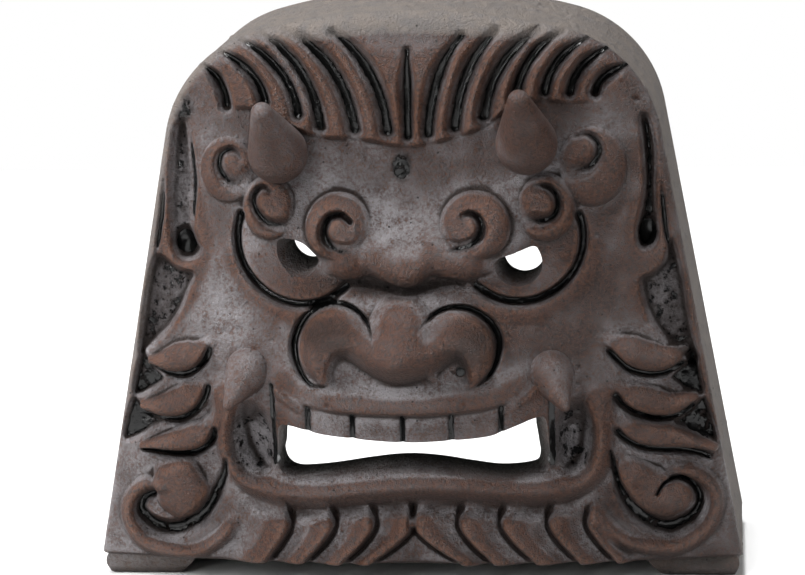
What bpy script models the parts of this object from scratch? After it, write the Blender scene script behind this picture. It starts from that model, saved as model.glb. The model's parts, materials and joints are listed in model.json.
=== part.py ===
"""Onigawara ornament: a hollow stoneware shell with an ogre's face, open at the back, standing on two feet.

Metres, +Z up, the face looks along -Y. The outline, the walls, the feet and the openings are real sizes.
The face is drawn in millimetres on a sheet whose base line is DRAWN_BASE long, and is spread over the
real front: across from the middle, up from the floor, and out from the plane of the front corners.
"""

import bmesh
import bpy
import numpy as np
from mathutils import Matrix, Vector

# Real sizes
BASE_WIDTH = 0.256
BODY_HEIGHT = 0.2175
BODY_DEPTH = 0.085
SIDE_LEAN = 0.184
CROWN_RADIUS = 0.230
SHOULDER_RADIUS = 0.050
SIDE_WALL = 0.0095
FLOOR_WALL = 0.0100
FRONT_WALL = 0.0105
FOOT_HEIGHT = 0.0085
FOOT_WIDTH = 0.037
FOOT_SPLAY = 0.008
FOOT_SETBACK = 0.0015
CORNER_ROUND = 0.0032
CROWN_ROUND = 0.0065
BASE_ROUND = 0.0025

# The drawing's own size, which is spread over the real front
DRAWN_BASE = 256.0
DRAWN_HEIGHT = 217.5
DRAWN_UNDERSIDE = 8.5
UNIT = BASE_WIDTH / DRAWN_BASE
RISE_UNIT = BODY_HEIGHT / DRAWN_HEIGHT

# Fineness
FRONT_SPACING = 1.15
INSIDE_SPACING = 11.0
FRONT_SHARE = 0.079
ARC_STEPS = 9
MARGIN = 3.0
OVERLAP = 0.002
PAST = 0.030

# The shell's large forms, in drawn millimetres
BULGE = 14.0
BULGE_LOST_AT_CROWN = 0.5
MUZZLE = 24.0
MUZZLE_FALL = 16.0

# Hair: each lock's groove from its top to its end, and half its breadth
HAIR = (
    (-80.3, 205.0, -71.7, 190.0, 2.8),
    (-73.8, 210.8, -56.2, 191.6, 3.2),
    (-65.4, 215.5, -43.2, 186.8, 3.6),
    (-57.4, 218.3, -34.6, 182.2, 3.9),
    (-46.8, 219.6, -21.2, 181.0, 4.3),
    (-28.8, 218.4, -8.4, 180.3, 4.2),
    (-0.2, 211.2, -0.6, 178.0, 3.4),
    (20.8, 216.5, 7.3, 179.2, 4.0),
    (34.2, 218.3, 17.9, 181.5, 4.2),
    (50.2, 218.5, 29.2, 185.5, 4.0),
    (58.9, 217.5, 41.5, 193.0, 3.5),
    (68.7, 214.7, 52.4, 194.5, 3.4),
    (76.6, 210.7, 62.0, 194.3, 3.2),
    (83.7, 203.8, 71.6, 194.0, 2.8),
)
HAIRLINE = ((-92, 186), (-70, 189), (-56, 188), (-38, 179), (-20, 177.5), (0, 174.5), (18, 178), (30, 182.5),
            (43, 191), (60, 191), (74, 190), (92, 188))
HAIR_RISE = 3.6
HAIR_DEPTH_TOP = 2.2
HAIR_DEPTH_END = 5.8

# Eyes: centre and radius of each eyeball; each pupil's hole in front, and its size and shift behind
EYEBALLS = ((-43.0, 138.2, 24.0), (42.3, 137.9, 23.0))
EYE_RISE = 3.5
PUPILS = (
    (((-53.4, 137.0), (-52.9, 130.0), (-50.1, 125.4), (-45.7, 123.0), (-41.0, 123.4), (-37.4, 126.6),
      (-36.0, 130.4), (-38.8, 134.0), (-42.5, 136.9), (-48.0, 138.2)), 0.82, (4.9, 5.6)),
    (((32.5, 129.8), (33.0, 124.8), (36.2, 121.0), (41.2, 119.3), (46.4, 120.4), (49.8, 123.8),
      (50.9, 128.4), (49.9, 133.0), (47.4, 135.5), (40.0, 132.9)), 0.84, (1.8, 3.4)),
)

# Scrolls of the brow: centre, radii, rise, ball, its radius, and the trough that winds round the ball
SCROLLS = (
    ((-71.5, 165.0), (11.0, 13.0), 3.0, (-69.0, 167.0), 4.6,
     ((-60.9, 164.2), (-64.1, 161.1), (-68.1, 159.7), (-71.9, 161.5), (-74.6, 166.2), (-73.8, 170.9), (-70.4, 173.0),
      (-67.4, 172.0), (-66.2, 169.6))),
    ((70.4, 165.4), (13.2, 15.4), 3.4, (66.2, 171.0), 5.4,
     ((58.4, 164.6), (64.1, 164.0), (70.2, 166.4), (73.2, 171.6), (71.7, 175.8), (68.1, 178.0), (64.3, 177.2))),
    ((-55.2, 150.8), (10.6, 12.2), 5.0, (-52.0, 152.2), 5.2,
     ((-43.6, 150.7), (-45.2, 146.2), (-49.6, 144.5), (-55.0, 145.1), (-59.2, 148.6), (-61.0, 153.0), (-60.0, 156.7),
      (-57.4, 158.6), (-54.4, 157.4))),
    ((52.8, 150.4), (11.2, 12.8), 5.0, (48.6, 154.0), 5.6,
     ((41.6, 150.8), (44.2, 147.2), (49.2, 145.6), (54.6, 146.6), (57.2, 150.4), (56.4, 155.3), (53.0, 158.4),
      (48.6, 158.2))),
    ((-27.8, 143.8), (12.8, 13.4), 7.0, (-26.4, 142.4), 5.2,
     ((-14.0, 136.6), (-21.0, 134.8), (-27.5, 135.4), (-31.7, 138.3), (-33.1, 142.3), (-31.9, 146.4), (-29.5, 148.4),
      (-26.0, 148.6), (-22.7, 146.0))),
    ((25.2, 143.8), (14.0, 13.6), 7.0, (19.2, 144.8), 7.2,
     ((8.5, 138.8), (14.5, 135.5), (20.8, 136.0), (25.9, 138.8), (28.1, 143.2), (27.0, 147.0), (24.1, 148.9),
      (21.4, 148.2))),
)
TROUGH_BREADTHS = (5.6, 5.2, 4.6, 3.8, 3.1, 2.6, 2.0)
TROUGH_DEPTHS = (0.45, 0.72, 0.88, 0.96, 0.96, 0.90, 0.55)
BROW_BAND = ((-36, 134.6), (-30.3, 132.0), (-22.6, 130.2), (-16.1, 132.2), (-11.0, 130.0), (-4.6, 127.6), (1.7, 128.0),
             (8.3, 132.0), (14.7, 130.6), (21.0, 129.9), (27.6, 131.6), (36.0, 134.6))
BROW_RISE = 6.6
BROW_UNDER = 7.6
BROW_OVER = 13.0
BROW_CREASE = ((-33, 117.5), (-29.5, 119.1), (-22.8, 121.4), (-15.0, 121.0), (-8.8, 119.8), (-2.3, 118.4), (3.6, 119.2),
               (11.4, 121.3), (18.4, 121.8), (26, 118.2))

# Nose: wings, the hollows under them, the crest that runs from hook to hook, the tip, and the grooves round the wings
WINGS = ((-28.7, 97.6, 15.7), (17.6, 96.2, 15.4))
WING_RISE = 6.4
NOSTRILS = ((-23.8, 85.2, 8.6, 11.2), (16.2, 86.2, 6.8, 9.8))
NOSE_CREST = ((-34.0, 86.0), (-36.0, 89.8), (-36.9, 95.0), (-34.2, 99.8), (-29.3, 101.8), (-22.7, 101.0), (-16.2, 98.4),
              (-9.9, 95.2), (-3.9, 93.6), (4.8, 95.2), (11.2, 98.4), (17.8, 101.0), (23.0, 99.8), (26.9, 95.9),
              (27.5, 91.0), (25.1, 87.0))
CREST_BREADTHS = (3.6, 5.8, 7.2, 8.4, 9.6, 10.4, 9.6, 8.4, 7.2, 5.8, 3.6)
CREST_RISES = (3.6, 6.4, 7.4, 7.2, 7.8, 9.0, 7.8, 7.2, 7.4, 6.4, 3.6)
NOSE_TIP = (-3.8, 95.0, 15.0, 9.0, 24.0)
NOSE_TIP_RISE = 9.6
WING_BORDERS = (
    ((-13.9, 99.3), (-15.1, 104.5), (-18.3, 109.1), (-23.1, 112.5), (-29.1, 113.9), (-36.6, 111.9), (-42.1, 107.1),
     (-45.4, 100.1), (-45.6, 93.7), (-43.1, 87.1), (-39.1, 82.9), (-33.7, 81.9)),
    ((3.5, 104.5), (6.7, 108.3), (11.7, 111.3), (17.3, 112.3), (24.1, 111.0), (30.7, 106.3), (34.0, 99.8), (33.4, 92.8),
     (30.5, 86.7), (26.1, 83.1)),
)
BORDER_BREADTHS = (0.9, 1.4, 1.8, 2.2, 2.9, 2.8, 1.8, 0.9)
BORDER_DEPTHS = (0.6, 2.0, 2.8, 3.4, 4.2, 4.2, 2.6, 0.8)

# Mouth: crest of the lip over the teeth, notches between them, pits at its corners, frame, and the opening
LIP = ((-60.0, 91.0), (-52.4, 85.6), (-43.8, 79.4), (-29.2, 76.1), (-7.9, 75.2), (11.5, 75.5), (30.9, 77.7), (43.5, 82.8),
       (51.0, 89.5))
LIP_RISE = 3.0
LIP_DROP = 4.3
TOOTH_NOTCHES = (-55.0, -40.8, -23.4, -3.8, 15.2, 34.6, 54.0)
TOOTH_PLANE = 19.0
TOOTH_RISE = 2.6
PITS = ((-64.2, 57.4, 11.5, 18.0, 8.5), (62.8, 59.0, 10.0, 17.5, 8.5))
FRAME = ((-73.5, 86), (-74.6, 76.9), (-74.2, 67.9), (-73.4, 58.9), (-71.6, 51.4), (-65.6, 43.2), (-55.3, 38.8),
         (-38.6, 37.8), (-18.9, 40.0), (0.7, 41.8), (20.3, 41.0), (39.7, 39.0), (59.1, 40.0), (69.2, 47.0), (72.4, 60.8),
         (72.8, 73.0), (71.5, 84))
FRAME_RISE = 5.0
UNDER_LIP = ((-74.6, 42.0), (-66.1, 32.2), (-53.4, 28.4), (-37.5, 28.6), (-19.7, 30.6), (-2.0, 31.6), (17.7, 30.8),
             (41.2, 29.3), (58.8, 31.0), (69.6, 38.6))
MOUTH_FRONT = ((-53.0, 65.0), (-48.0, 65.8), (-38.3, 63.4), (-23.6, 61.2), (-4.1, 59.7), (15.5, 60.5), (30.1, 62.3),
               (39.9, 65.9), (46.9, 68.5), (52.2, 68.8), (54.2, 61.9), (55.5, 52.9), (55.4, 46.8), (52.6, 43.8),
               (39.4, 42.6), (25.8, 44.2), (14.1, 46.0), (2.4, 47.0), (-7.5, 46.7), (-19.3, 45.3), (-29.2, 43.8),
               (-39.1, 42.6), (-48.9, 42.2), (-53.8, 44.6), (-55.4, 49.6), (-54.5, 57.0))
MOUTH_BACK_SHARE = 0.912
MOUTH_BACK_SHIFT = -2.0
MOUTH_BACK_LIFT = 3.4
MOUTH_BACK_PLANE = 2.0
MOUTH_WALL = (0.0, 52.0, 60.0, 19.0, 8.5)

# Horns and fangs: root and tip, each (across, up, out), with their radii
HORNS = (
    ((-50.8, 172.4, 12.0), 11.7, (-54.0, 190.8, 31.0), 4.2),
    ((45.4, 175.4, 11.5), 12.0, (43.8, 194.8, 31.0), 4.2),
)
FANGS = (
    ((-64.6, 86.8, 12.6), 9.0, (-71.6, 75.0, 24.0), 1.8),
    ((53.4, 86.2, 13.2), 9.2, (59.6, 74.6, 24.5), 1.8),
)

# Cheek tufts: spine from root to tip, half breadths along it, and the groove under its lower edge
TUFTS = (
    (((-78.6, 100.5), (-80.6, 96.5), (-85.6, 92.7), (-92.1, 90.7), (-98.7, 88.8), (-104.6, 88.8)),
     (1.0, 3.6, 6.0, 6.2, 4.8, 1.6),
     ((-105.6, 87.6), (-99.4, 84.0), (-93, 83.0), (-87.4, 85), (-82.4, 90.0), (-79.2, 97))),
    (((-79.6, 85.9), (-81.8, 80.7), (-86.1, 76.3), (-92.7, 72.8), (-100.4, 70.6), (-108.6, 70.6)),
     (1.2, 4.2, 6.6, 6.2, 4.4, 1.4),
     ((-110.0, 68.0), (-104, 65.8), (-99.0, 64.9), (-92.8, 65.7), (-86.6, 69.6), (-82.6, 75.2), (-80.0, 82.5))),
    (((-77.4, 72.4), (-79.2, 66.9), (-82.6, 61.8), (-88.9, 58.6), (-97.7, 56.5), (-109.5, 54.3)),
     (1.4, 4.0, 5.8, 5.0, 3.2, 1.0),
     ((-112, 52.6), (-102.4, 52.4), (-94.1, 51.8), (-86.7, 52.6), (-80.9, 57.2), (-77.8, 65.5))),
    (((71.6, 99.5), (77.4, 97.1), (83.5, 94.3), (88.9, 91.7), (97.0, 89.6), (105.6, 92.4)),
     (1.0, 3.4, 6.0, 6.2, 4.8, 1.6),
     ((74.6, 95.6), (79.4, 89.6), (85.0, 85.0), (93.6, 83.0), (101.7, 84.8), (106.8, 89.0))),
    (((76.2, 84.9), (79.2, 79.5), (83.8, 75.8), (90.9, 73.2), (99.6, 71.4), (109.2, 74.0)),
     (1.2, 4.0, 6.2, 6.1, 4.4, 1.4),
     ((77.0, 78.4), (82.2, 71.4), (90.0, 66.9), (98.1, 65.7), (105.9, 67.5), (110.3, 72.4))),
    (((76.4, 73.4), (79.0, 67.1), (83.8, 63.0), (91.8, 60.2), (101.3, 58.6), (109.8, 56.7), (117.0, 53.5)),
     (1.2, 3.8, 5.6, 5.3, 3.8, 1.4),
     ((77.6, 64.6), (82.2, 58.2), (89.0, 54.5), (97.0, 53.2), (106.6, 52.0), (118.2, 48.4))),
)
TUFT_RISE = 5.8

# Sunk fields of the sides: border, depth and slope; the wells at their lower ends; and thin valleys beside them
SUNK = (
    (((-93.6, 178.8), (-95.3, 163.5), (-96.3, 147.0), (-95.6, 135.9), (-92.6, 128.8), (-86.9, 128.4), (-83.3, 131.0),
      (-82.5, 134.2), (-85.2, 137.0), (-86.1, 142.6), (-85.8, 150.2), (-85.0, 160.1), (-85.8, 166.7), (-86.8, 179.9),
      (-89.8, 184.5)), 5.0, 3.2),
    (((88.6, 183.2), (89.4, 171.1), (90.1, 159.0), (89.2, 151.6), (87.1, 141.9), (87.1, 135.2), (89.7, 132.4),
      (94.5, 135.1), (95.8, 143.1), (94.9, 151.6), (94.7, 158.9), (94.8, 171.1), (93.0, 180.8), (90.7, 185.1)),
     5.2, 2.6),
    (((-86.1, 123.4), (-89.1, 115.3), (-92.6, 107.6), (-98.4, 99.7), (-108.6, 90.7), (-109.9, 94.8), (-107.9, 110.5),
      (-105.5, 122.5), (-102.5, 129.7), (-99.2, 130.5), (-96.1, 128.1), (-91.9, 125.3)), 5.0, 2.4),
    (((88.3, 120.5), (89.7, 110.6), (94.2, 100.7), (101.5, 92.1), (109.0, 85.0), (111.4, 88.4), (109.1, 97.0),
      (107.0, 109.4), (105.6, 119.2), (103.3, 129.1), (101.1, 135.7), (99.3, 134.0), (97.4, 127.9), (93.2, 123.5)),
     5.0, 2.4),
    (((109, 92), (113.2, 76), (110.5, 73.5), (103, 77.5), (99.5, 81.5), (104.5, 86)), 4.5, 2.0),
    (((-109, 92), (-113.2, 76), (-110.5, 73.5), (-103, 77.5), (-99.5, 81.5), (-104.5, 86)), 4.5, 2.0),
    (((113.2, 73), (118, 57), (113, 56.0), (105, 60.5), (101, 63.5), (107, 67.5)), 4.5, 2.0),
    (((-113.2, 73), (-118, 57), (-113, 56.0), (-105, 60.5), (-101, 63.5), (-107, 67.5)), 4.5, 2.0),
)
SUNK_ENDS = ((-89.6, 135.4, 6.2, 7.4, 4.6), (91.4, 138.6, 5.2, 8.0, 4.2))
VALLEYS = (
    ((-97.3, 162.1), (-98.1, 154.6), (-98.9, 146.7), (-100.6, 136.5), (-102.3, 129.0)),
    ((96.8, 158.5), (97.4, 149.7), (98.1, 141.8), (99.2, 135.0), (100.3, 129.8)),
    ((-86.8, 181.0), (-85.6, 168.0), (-85.0, 158.0), (-85.8, 149.0), (-86.1, 141.0)),
)

# Spirals of the lower corners: the comma-like body and its half breadths, the trench, and the roll outside it
SPIRALS = (
    (((-98.0, 52.0), (-95.6, 44.0), (-93.2, 36.4)), (7.0, 9.6, 11.2), 6.4,
     ((-74.9, 50.0), (-75.7, 45.4), (-77.9, 39.5), (-82.1, 31.5), (-88.6, 24.2), (-97.0, 20.0), (-105.6, 21.4),
      (-110.8, 27.0), (-109.7, 32.0), (-104.8, 35.0)), (1.8, 3.6, 5.0, 5.6, 5.4, 4.0, 2.0),
     ((-96.0, 41.4), (-101.0, 39.4), (-108.6, 38.8), (-115.0, 31.8), (-115.7, 23.6), (-110.2, 15.2), (-99.4, 12.0),
      (-88.6, 12.2), (-77.6, 18.9), (-70.6, 29.0))),
    (((79.4, 54.5), (82.0, 49.0), (87.2, 42.0), (93.0, 37.0), (98.0, 34.8), (101.2, 35.0)),
     (1.2, 4.4, 7.6, 9.2, 9.0, 7.4), 5.6,
     ((76.4, 54.0), (77.9, 47.4), (80.3, 38.6), (84.9, 29.6), (92.4, 23.6), (100.4, 21.8), (108.2, 25.8), (111.2, 32.0),
      (109.0, 38.0), (103.6, 41.8), (97.6, 40.6), (94.6, 36.6)), (1.2, 2.2, 4.2, 5.2, 5.2, 4.0, 2.4, 1.6, 1.0),
     ((67.6, 37.5), (73.0, 26.4), (81.8, 17.7), (93.5, 14.4), (104.1, 14.6), (113.7, 21.1), (117.6, 30.2), (116.0, 38.2),
      (109.5, 43.6), (101.7, 45.2), (94.5, 43.0))),
)
TRENCH_DEPTH = 6.0
ROLL_RISE = 3.6

# Lobes of the chin: the outermost root line on each side, then the top and the bottom of each lobe's edge
CHIN = (
    (-1, ((-66.5, 38), (-70.0, 26), (-75, 17), (-80, 8)), ((-50.5, -60.0), (-33.0, -45.0), (-17.0, -30.0), (-1.5, -19.0))),
    (1, ((69, 40), (72.5, 30), (79, 19), (88, 8)), ((68.0, 79.0), (53.0, 64.5), (34.5, 47.5), (18.0, 31.0), (-0.5, 19.0))),
)


def clear_scene():
    for obj in list(bpy.data.objects):
        bpy.data.objects.remove(obj, do_unlink=True)


def arc_centres():
    """Centres of the crown's arc and of the right shoulder's, and the side line's outward direction."""
    normal = np.array([1.0, SIDE_LEAN]) / np.hypot(1.0, SIDE_LEAN)
    corner = np.array([BASE_WIDTH / 2, FOOT_HEIGHT])
    crown = np.array([0.0, FOOT_HEIGHT + BODY_HEIGHT - CROWN_RADIUS])
    foot = crown + normal * (normal @ (corner - crown) - SHOULDER_RADIUS)
    offset = foot - crown
    climb = np.sqrt((CROWN_RADIUS - SHOULDER_RADIUS) ** 2 - offset @ offset)
    return crown, foot + climb * np.array([-normal[1], normal[0]]), normal


def edge_distance(x, z):
    """How far inside the outline a point lies, from its side line, shoulder arc or crown arc."""
    crown, shoulder, normal = arc_centres()
    across = np.abs(x)
    side = normal @ np.array([BASE_WIDTH / 2, FOOT_HEIGHT]) - (across * normal[0] + z * normal[1])
    corner = SHOULDER_RADIUS - np.hypot(across - shoulder[0], z - shoulder[1])
    top = CROWN_RADIUS - np.hypot(across - crown[0], z - crown[1])
    above = (z - shoulder[1]) * normal[0] > (across - shoulder[0]) * normal[1]
    spoke = shoulder - crown
    beyond = (across - crown[0]) * spoke[1] > (z - crown[1]) * spoke[0]
    return np.where(above, np.where(beyond, corner, top), np.minimum(side, top))


def outline(inset, floor):
    """The outline pulled in by inset, standing on floor: points counter-clockwise seen from the front."""
    crown, shoulder, normal = arc_centres()
    spoke = shoulder - crown
    lean = np.arctan2(normal[1], normal[0])
    turn = np.arctan2(spoke[1], spoke[0])
    corner = np.array([BASE_WIDTH / 2, FOOT_HEIGHT]) - inset * normal
    base = corner[0] - SIDE_LEAN * (floor - corner[1])
    right = [(base, floor)]
    for angle in np.linspace(lean, turn, ARC_STEPS):
        right.append(shoulder + (SHOULDER_RADIUS - inset) * np.array([np.cos(angle), np.sin(angle)]))
    for angle in np.linspace(turn, np.pi / 2, ARC_STEPS)[1:]:
        right.append(crown + (CROWN_RADIUS - inset) * np.array([np.cos(angle), np.sin(angle)]))
    left = [(-x, z) for x, z in reversed(right[:-1])]
    return [tuple(point) for point in right] + left


def smooth_step(value, low, high):
    share = np.clip((value - low) / (high - low), 0.0, 1.0)
    return share * share * (3.0 - 2.0 * share)


def soft_max(a, b, soft):
    share = np.clip(0.5 + 0.5 * (a - b) / soft, 0.0, 1.0)
    return a * share + b * (1.0 - share) + 0.5 * soft * share * (1.0 - share)


def taper(along, start, end):
    """Grows from nothing over the share start of a path and fades over the share end."""
    return smooth_step(along, 0.0, start) * (1.0 - smooth_step(along, 1.0 - end, 1.0))


def curve(points, steps=6, closed=False):
    """A smooth line through the points."""
    p = np.asarray(points, float)
    if closed:
        p = np.vstack([p[-1], p, p[:2]])
    else:
        p = np.vstack([2 * p[0] - p[1], p, 2 * p[-1] - p[-2]])
    t = np.linspace(0, 1, steps, endpoint=False)[:, None]
    parts = []
    for a, b, c, d in zip(p, p[1:], p[2:], p[3:]):
        square = (2 * a - 5 * b + 4 * c - d) * t**2
        cube = (3 * b - a - 3 * c + d) * t**3
        parts.append(0.5 * (2 * b + (c - a) * t + square + cube))
    if not closed:
        parts.append(p[-2][None])
    return np.vstack(parts)


def arc(centre, radii, start, end, steps=20):
    """An arc or a spiral from start to end, in degrees counter-clockwise from the right."""
    angle = np.radians(np.linspace(start, end, steps))
    radius = np.linspace(radii[0], radii[1], steps)
    return np.stack([centre[0] + radius * np.cos(angle), centre[1] + radius * np.sin(angle)], -1)


class Sheet:
    """The drawing as a height over a square grid."""

    def __init__(self, spacing):
        half = DRAWN_BASE / 2 + MARGIN
        top = DRAWN_UNDERSIDE + DRAWN_HEIGHT + MARGIN
        low = DRAWN_UNDERSIDE - MARGIN
        self.xs = np.linspace(-half, half, 2 * int(half / spacing) + 2)
        self.zs = np.linspace(low, top, int(round((top - low) / spacing)) + 1)
        self.x, self.z = np.meshgrid(self.xs, self.zs)
        self.height = np.zeros_like(self.x)

    def window(self, points, reach):
        """The rows and columns within reach of the points."""
        low = np.min(points, axis=0) - reach
        high = np.max(points, axis=0) + reach
        rows = slice(np.searchsorted(self.zs, low[1]), np.searchsorted(self.zs, high[1]))
        columns = slice(np.searchsorted(self.xs, low[0]), np.searchsorted(self.xs, high[0]))
        return rows, columns

    def measure(self, path, area):
        """The share along the path that each point is nearest to, and its distance."""
        x, z = self.x[area], self.z[area]
        nearest = np.full(x.shape, np.inf)
        along = np.zeros(x.shape)
        steps = np.hypot(*np.diff(path, axis=0).T)
        done = np.concatenate([[0], np.cumsum(steps)]) / steps.sum()
        for i, (a, b) in enumerate(zip(path, path[1:])):
            run = b - a
            share = np.clip(((x - a[0]) * run[0] + (z - a[1]) * run[1]) / (run @ run), 0, 1)
            away = np.hypot(x - a[0] - share * run[0], z - a[1] - share * run[1])
            nearer = away < nearest
            nearest = np.where(nearer, away, nearest)
            along = np.where(nearer, done[i] + share * (done[i + 1] - done[i]), along)
        return along, nearest

    def inside(self, outline, area):
        """Distance to a closed outline, positive inside it."""
        closed = np.vstack([outline, outline[:1]])
        away = self.measure(closed, area)[1]
        x, z = self.x[area], self.z[area]
        within = np.zeros(x.shape, bool)
        for a, b in zip(closed, closed[1:]):
            if a[1] != b[1]:
                crosses = (a[1] > z) != (b[1] > z)
                within ^= crosses & (x < a[0] + (z - a[1]) / (b[1] - a[1]) * (b[0] - a[0]))
        return np.where(within, away, -away)


def spread(along, values):
    """The values laid out evenly over the length of a path."""
    return np.interp(along, np.linspace(0, 1, len(values)), values)


def together(a, b, power=5):
    """A smooth union of two rises, which is nothing where both are nothing."""
    return (a**power + b**power) ** (1.0 / power)


def groove(sheet, path, breadth, depth, start=0.25, end=0.25, floor=0.25):
    """A trough along a path; breadth is half its width, and floor the share of it that is flat."""
    area = sheet.window(path, breadth)
    along, away = sheet.measure(path, area)
    worn = taper(along, start, end)
    sheet.height[area] -= depth * worn * (1.0 - smooth_step(away / breadth, floor, 1.0))


def furrow(sheet, path, breadths, depths):
    """A trough whose half breadth and depth change along its path."""
    area = sheet.window(path, max(breadths))
    along, away = sheet.measure(path, area)
    share = away / spread(along, breadths)
    depth = spread(along, depths)
    sheet.height[area] -= depth * (1.0 - smooth_step(share, 0.1, 1.0))


def roll(sheet, path, breadth, rise, start=0.25, end=0.25):
    """A rounded ridge along a path."""
    area = sheet.window(path, breadth)
    along, away = sheet.measure(path, area)
    share = np.clip(away / breadth, 0, 1)
    sheet.height[area] += rise * taper(along, start, end) * (1 - share**2) ** 1.4


def horned(sheet, spine, breadths, rise):
    """A fleshy form that grows out of the ground along its spine, with a round end."""
    area = sheet.window(spine, max(breadths))
    along, away = sheet.measure(spine, area)
    share = np.clip(away / spread(along, breadths), 0, 1)
    sheet.height[area] += rise * smooth_step(along, 0.0, 0.45) * (1 - share**2) ** 0.5


def leaf(sheet, edge, root, rise, drop, gap):
    """A leaf that swells from its root line to its edge, and drops there into a groove."""
    border = np.vstack([edge, root[::-1]])
    area = sheet.window(border, gap)
    within = smooth_step(sheet.inside(border, area), -0.8, 0.9)
    to_edge = sheet.measure(edge, area)[1]
    to_root = sheet.measure(root, area)[1]
    share = to_root / (to_root + to_edge + 1e-6)
    swell = smooth_step(share, 0.05, 0.85) * (1 - 0.25 * smooth_step(share, 0.88, 1.0))
    below = 1 - smooth_step(sheet.z[area], 24, 36)
    sheet.height[area] += rise * within * swell * below * smooth_step(to_root + to_edge, 0.0, 6.0)
    groove(sheet, edge, gap, drop, 0.3, 0.15, 0.1)


def dome(sheet, centre, radii, rise, power):
    """A round boss added on what is there."""
    area = sheet.window([np.subtract(centre, radii), np.add(centre, radii)], 0)
    away = np.hypot((sheet.x[area] - centre[0]) / radii[0], (sheet.z[area] - centre[1]) / radii[1])
    sheet.height[area] += rise * np.clip(1 - away**2, 0, None) ** power


def swelling(sheet, centre, reach, rise):
    """A soft rise, or with a negative rise a soft hollow, without an edge."""
    away = ((sheet.x - centre[0]) / reach[0]) ** 2 + ((sheet.z - centre[1]) / reach[1]) ** 2
    sheet.height += rise * np.exp(-away)


def hollow(sheet, border, depth, slope):
    """A sunk field inside a closed outline, with sides as wide as slope."""
    area = sheet.window(border, slope)
    within = sheet.inside(border, area)
    sheet.height[area] -= depth * smooth_step(within, -0.5 * slope, slope)


def shell_form(sheet):
    """The large forms that the inside of the shell follows too: the front's bulge and the muzzle's."""
    half = DRAWN_BASE / 2 - SIDE_LEAN * (sheet.z - DRAWN_UNDERSIDE)
    across = np.clip(1.0 - (sheet.x / half) ** 2, 0, None)
    sheet.height = BULGE * across * (1.0 - BULGE_LOST_AT_CROWN * smooth_step(sheet.z, 110, 224))
    upward = np.where(sheet.z > 84, (sheet.z - 84) / 48, (sheet.z - 84) / 60)
    fall = ((sheet.x + 2) / 80) ** 2 + upward**2
    sheet.height = soft_max(sheet.height, MUZZLE - MUZZLE_FALL * fall, 8.0)


def carve_hair(sheet):
    swelling(sheet, (0, 164), (44, 16), -3.0)
    line = curve(HAIRLINE)
    above = smooth_step(sheet.z - np.interp(sheet.x, line[:, 0], line[:, 1]), -1.5, 1.5)
    fade = (1 - smooth_step(sheet.z, 204, 222)) * (1 - smooth_step(np.abs(sheet.x), 58, 76))
    sheet.height += HAIR_RISE * above * fade
    t = np.linspace(0, 1, 14)[:, None]
    for top_x, top_z, end_x, end_z, breadth in HAIR:
        bend = np.array([end_x + 0.12 * (top_x - end_x), top_z - 0.35 * (top_z - end_z)])
        path = (1 - t) ** 2 * (top_x, top_z) + 2 * t * (1 - t) * bend + t**2 * (end_x, end_z)
        area = sheet.window(path, breadth * 1.3)
        along, away = sheet.measure(path, area)
        grown = smooth_step(along, 0, 0.45)
        reach = breadth * (0.80 + 0.62 * grown)
        depth = HAIR_DEPTH_TOP + (HAIR_DEPTH_END - HAIR_DEPTH_TOP) * grown
        sheet.height[area] -= depth * (1 - smooth_step(away / reach, 0.05, 1.0))


def carve_eyes(sheet):
    for side, (x, z, radius) in zip((-1, 1), EYEBALLS):
        dome(sheet, (x, z), (radius, radius), EYE_RISE, 0.7)
        ring = arc((x, z), (radius + 1.4, radius + 1.4), 90 - side * 62, 90 - side * 235, 30)
        groove(sheet, ring, 2.5, 4.6, 0.06, 0.12, 0.3)
        lid = arc((x, z), (radius + 5.6, radius + 5.6), 90 - side * 75, 90 - side * 228, 30)
        roll(sheet, lid, 4.4, 1.0, 0.3, 0.3)


def carve_nose(sheet):
    bridge = curve([(-2, 119), (-2.5, 111), (-3, 100)])
    area = sheet.window(bridge, 20)
    along, away = sheet.measure(bridge, area)
    sheet.height[area] += (0.5 + 2.0 * along) * (1 - smooth_step(away, 1, 19))
    lift = np.zeros_like(sheet.height)
    for x, z, radius in WINGS:
        away = np.hypot(sheet.x - x, sheet.z - z) / radius
        lift = np.maximum(lift, WING_RISE * np.clip(1 - away**2, 0, None) ** 0.5)
    for x, z, wide, high in NOSTRILS:
        lift *= smooth_step(np.hypot((sheet.x - x) / wide, (sheet.z - z) / high), 0.7, 1.3)
    crest = curve(NOSE_CREST)
    area = sheet.window(crest, max(CREST_BREADTHS))
    along, away = sheet.measure(crest, area)
    share = np.clip(away / spread(along, CREST_BREADTHS), 0, 1)
    lift[area] = together(lift[area], spread(along, CREST_RISES) * (1 - share**2) ** 1.0)
    x, z, wide, low, high = NOSE_TIP
    away = np.hypot((sheet.x - x) / wide, (sheet.z - z) / np.where(sheet.z < z, low, high))
    sheet.height += together(lift, NOSE_TIP_RISE * np.clip(1 - away**2, 0, None) ** 0.8)
    for border in WING_BORDERS:
        furrow(sheet, curve(border), BORDER_BREADTHS, BORDER_DEPTHS)


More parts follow.
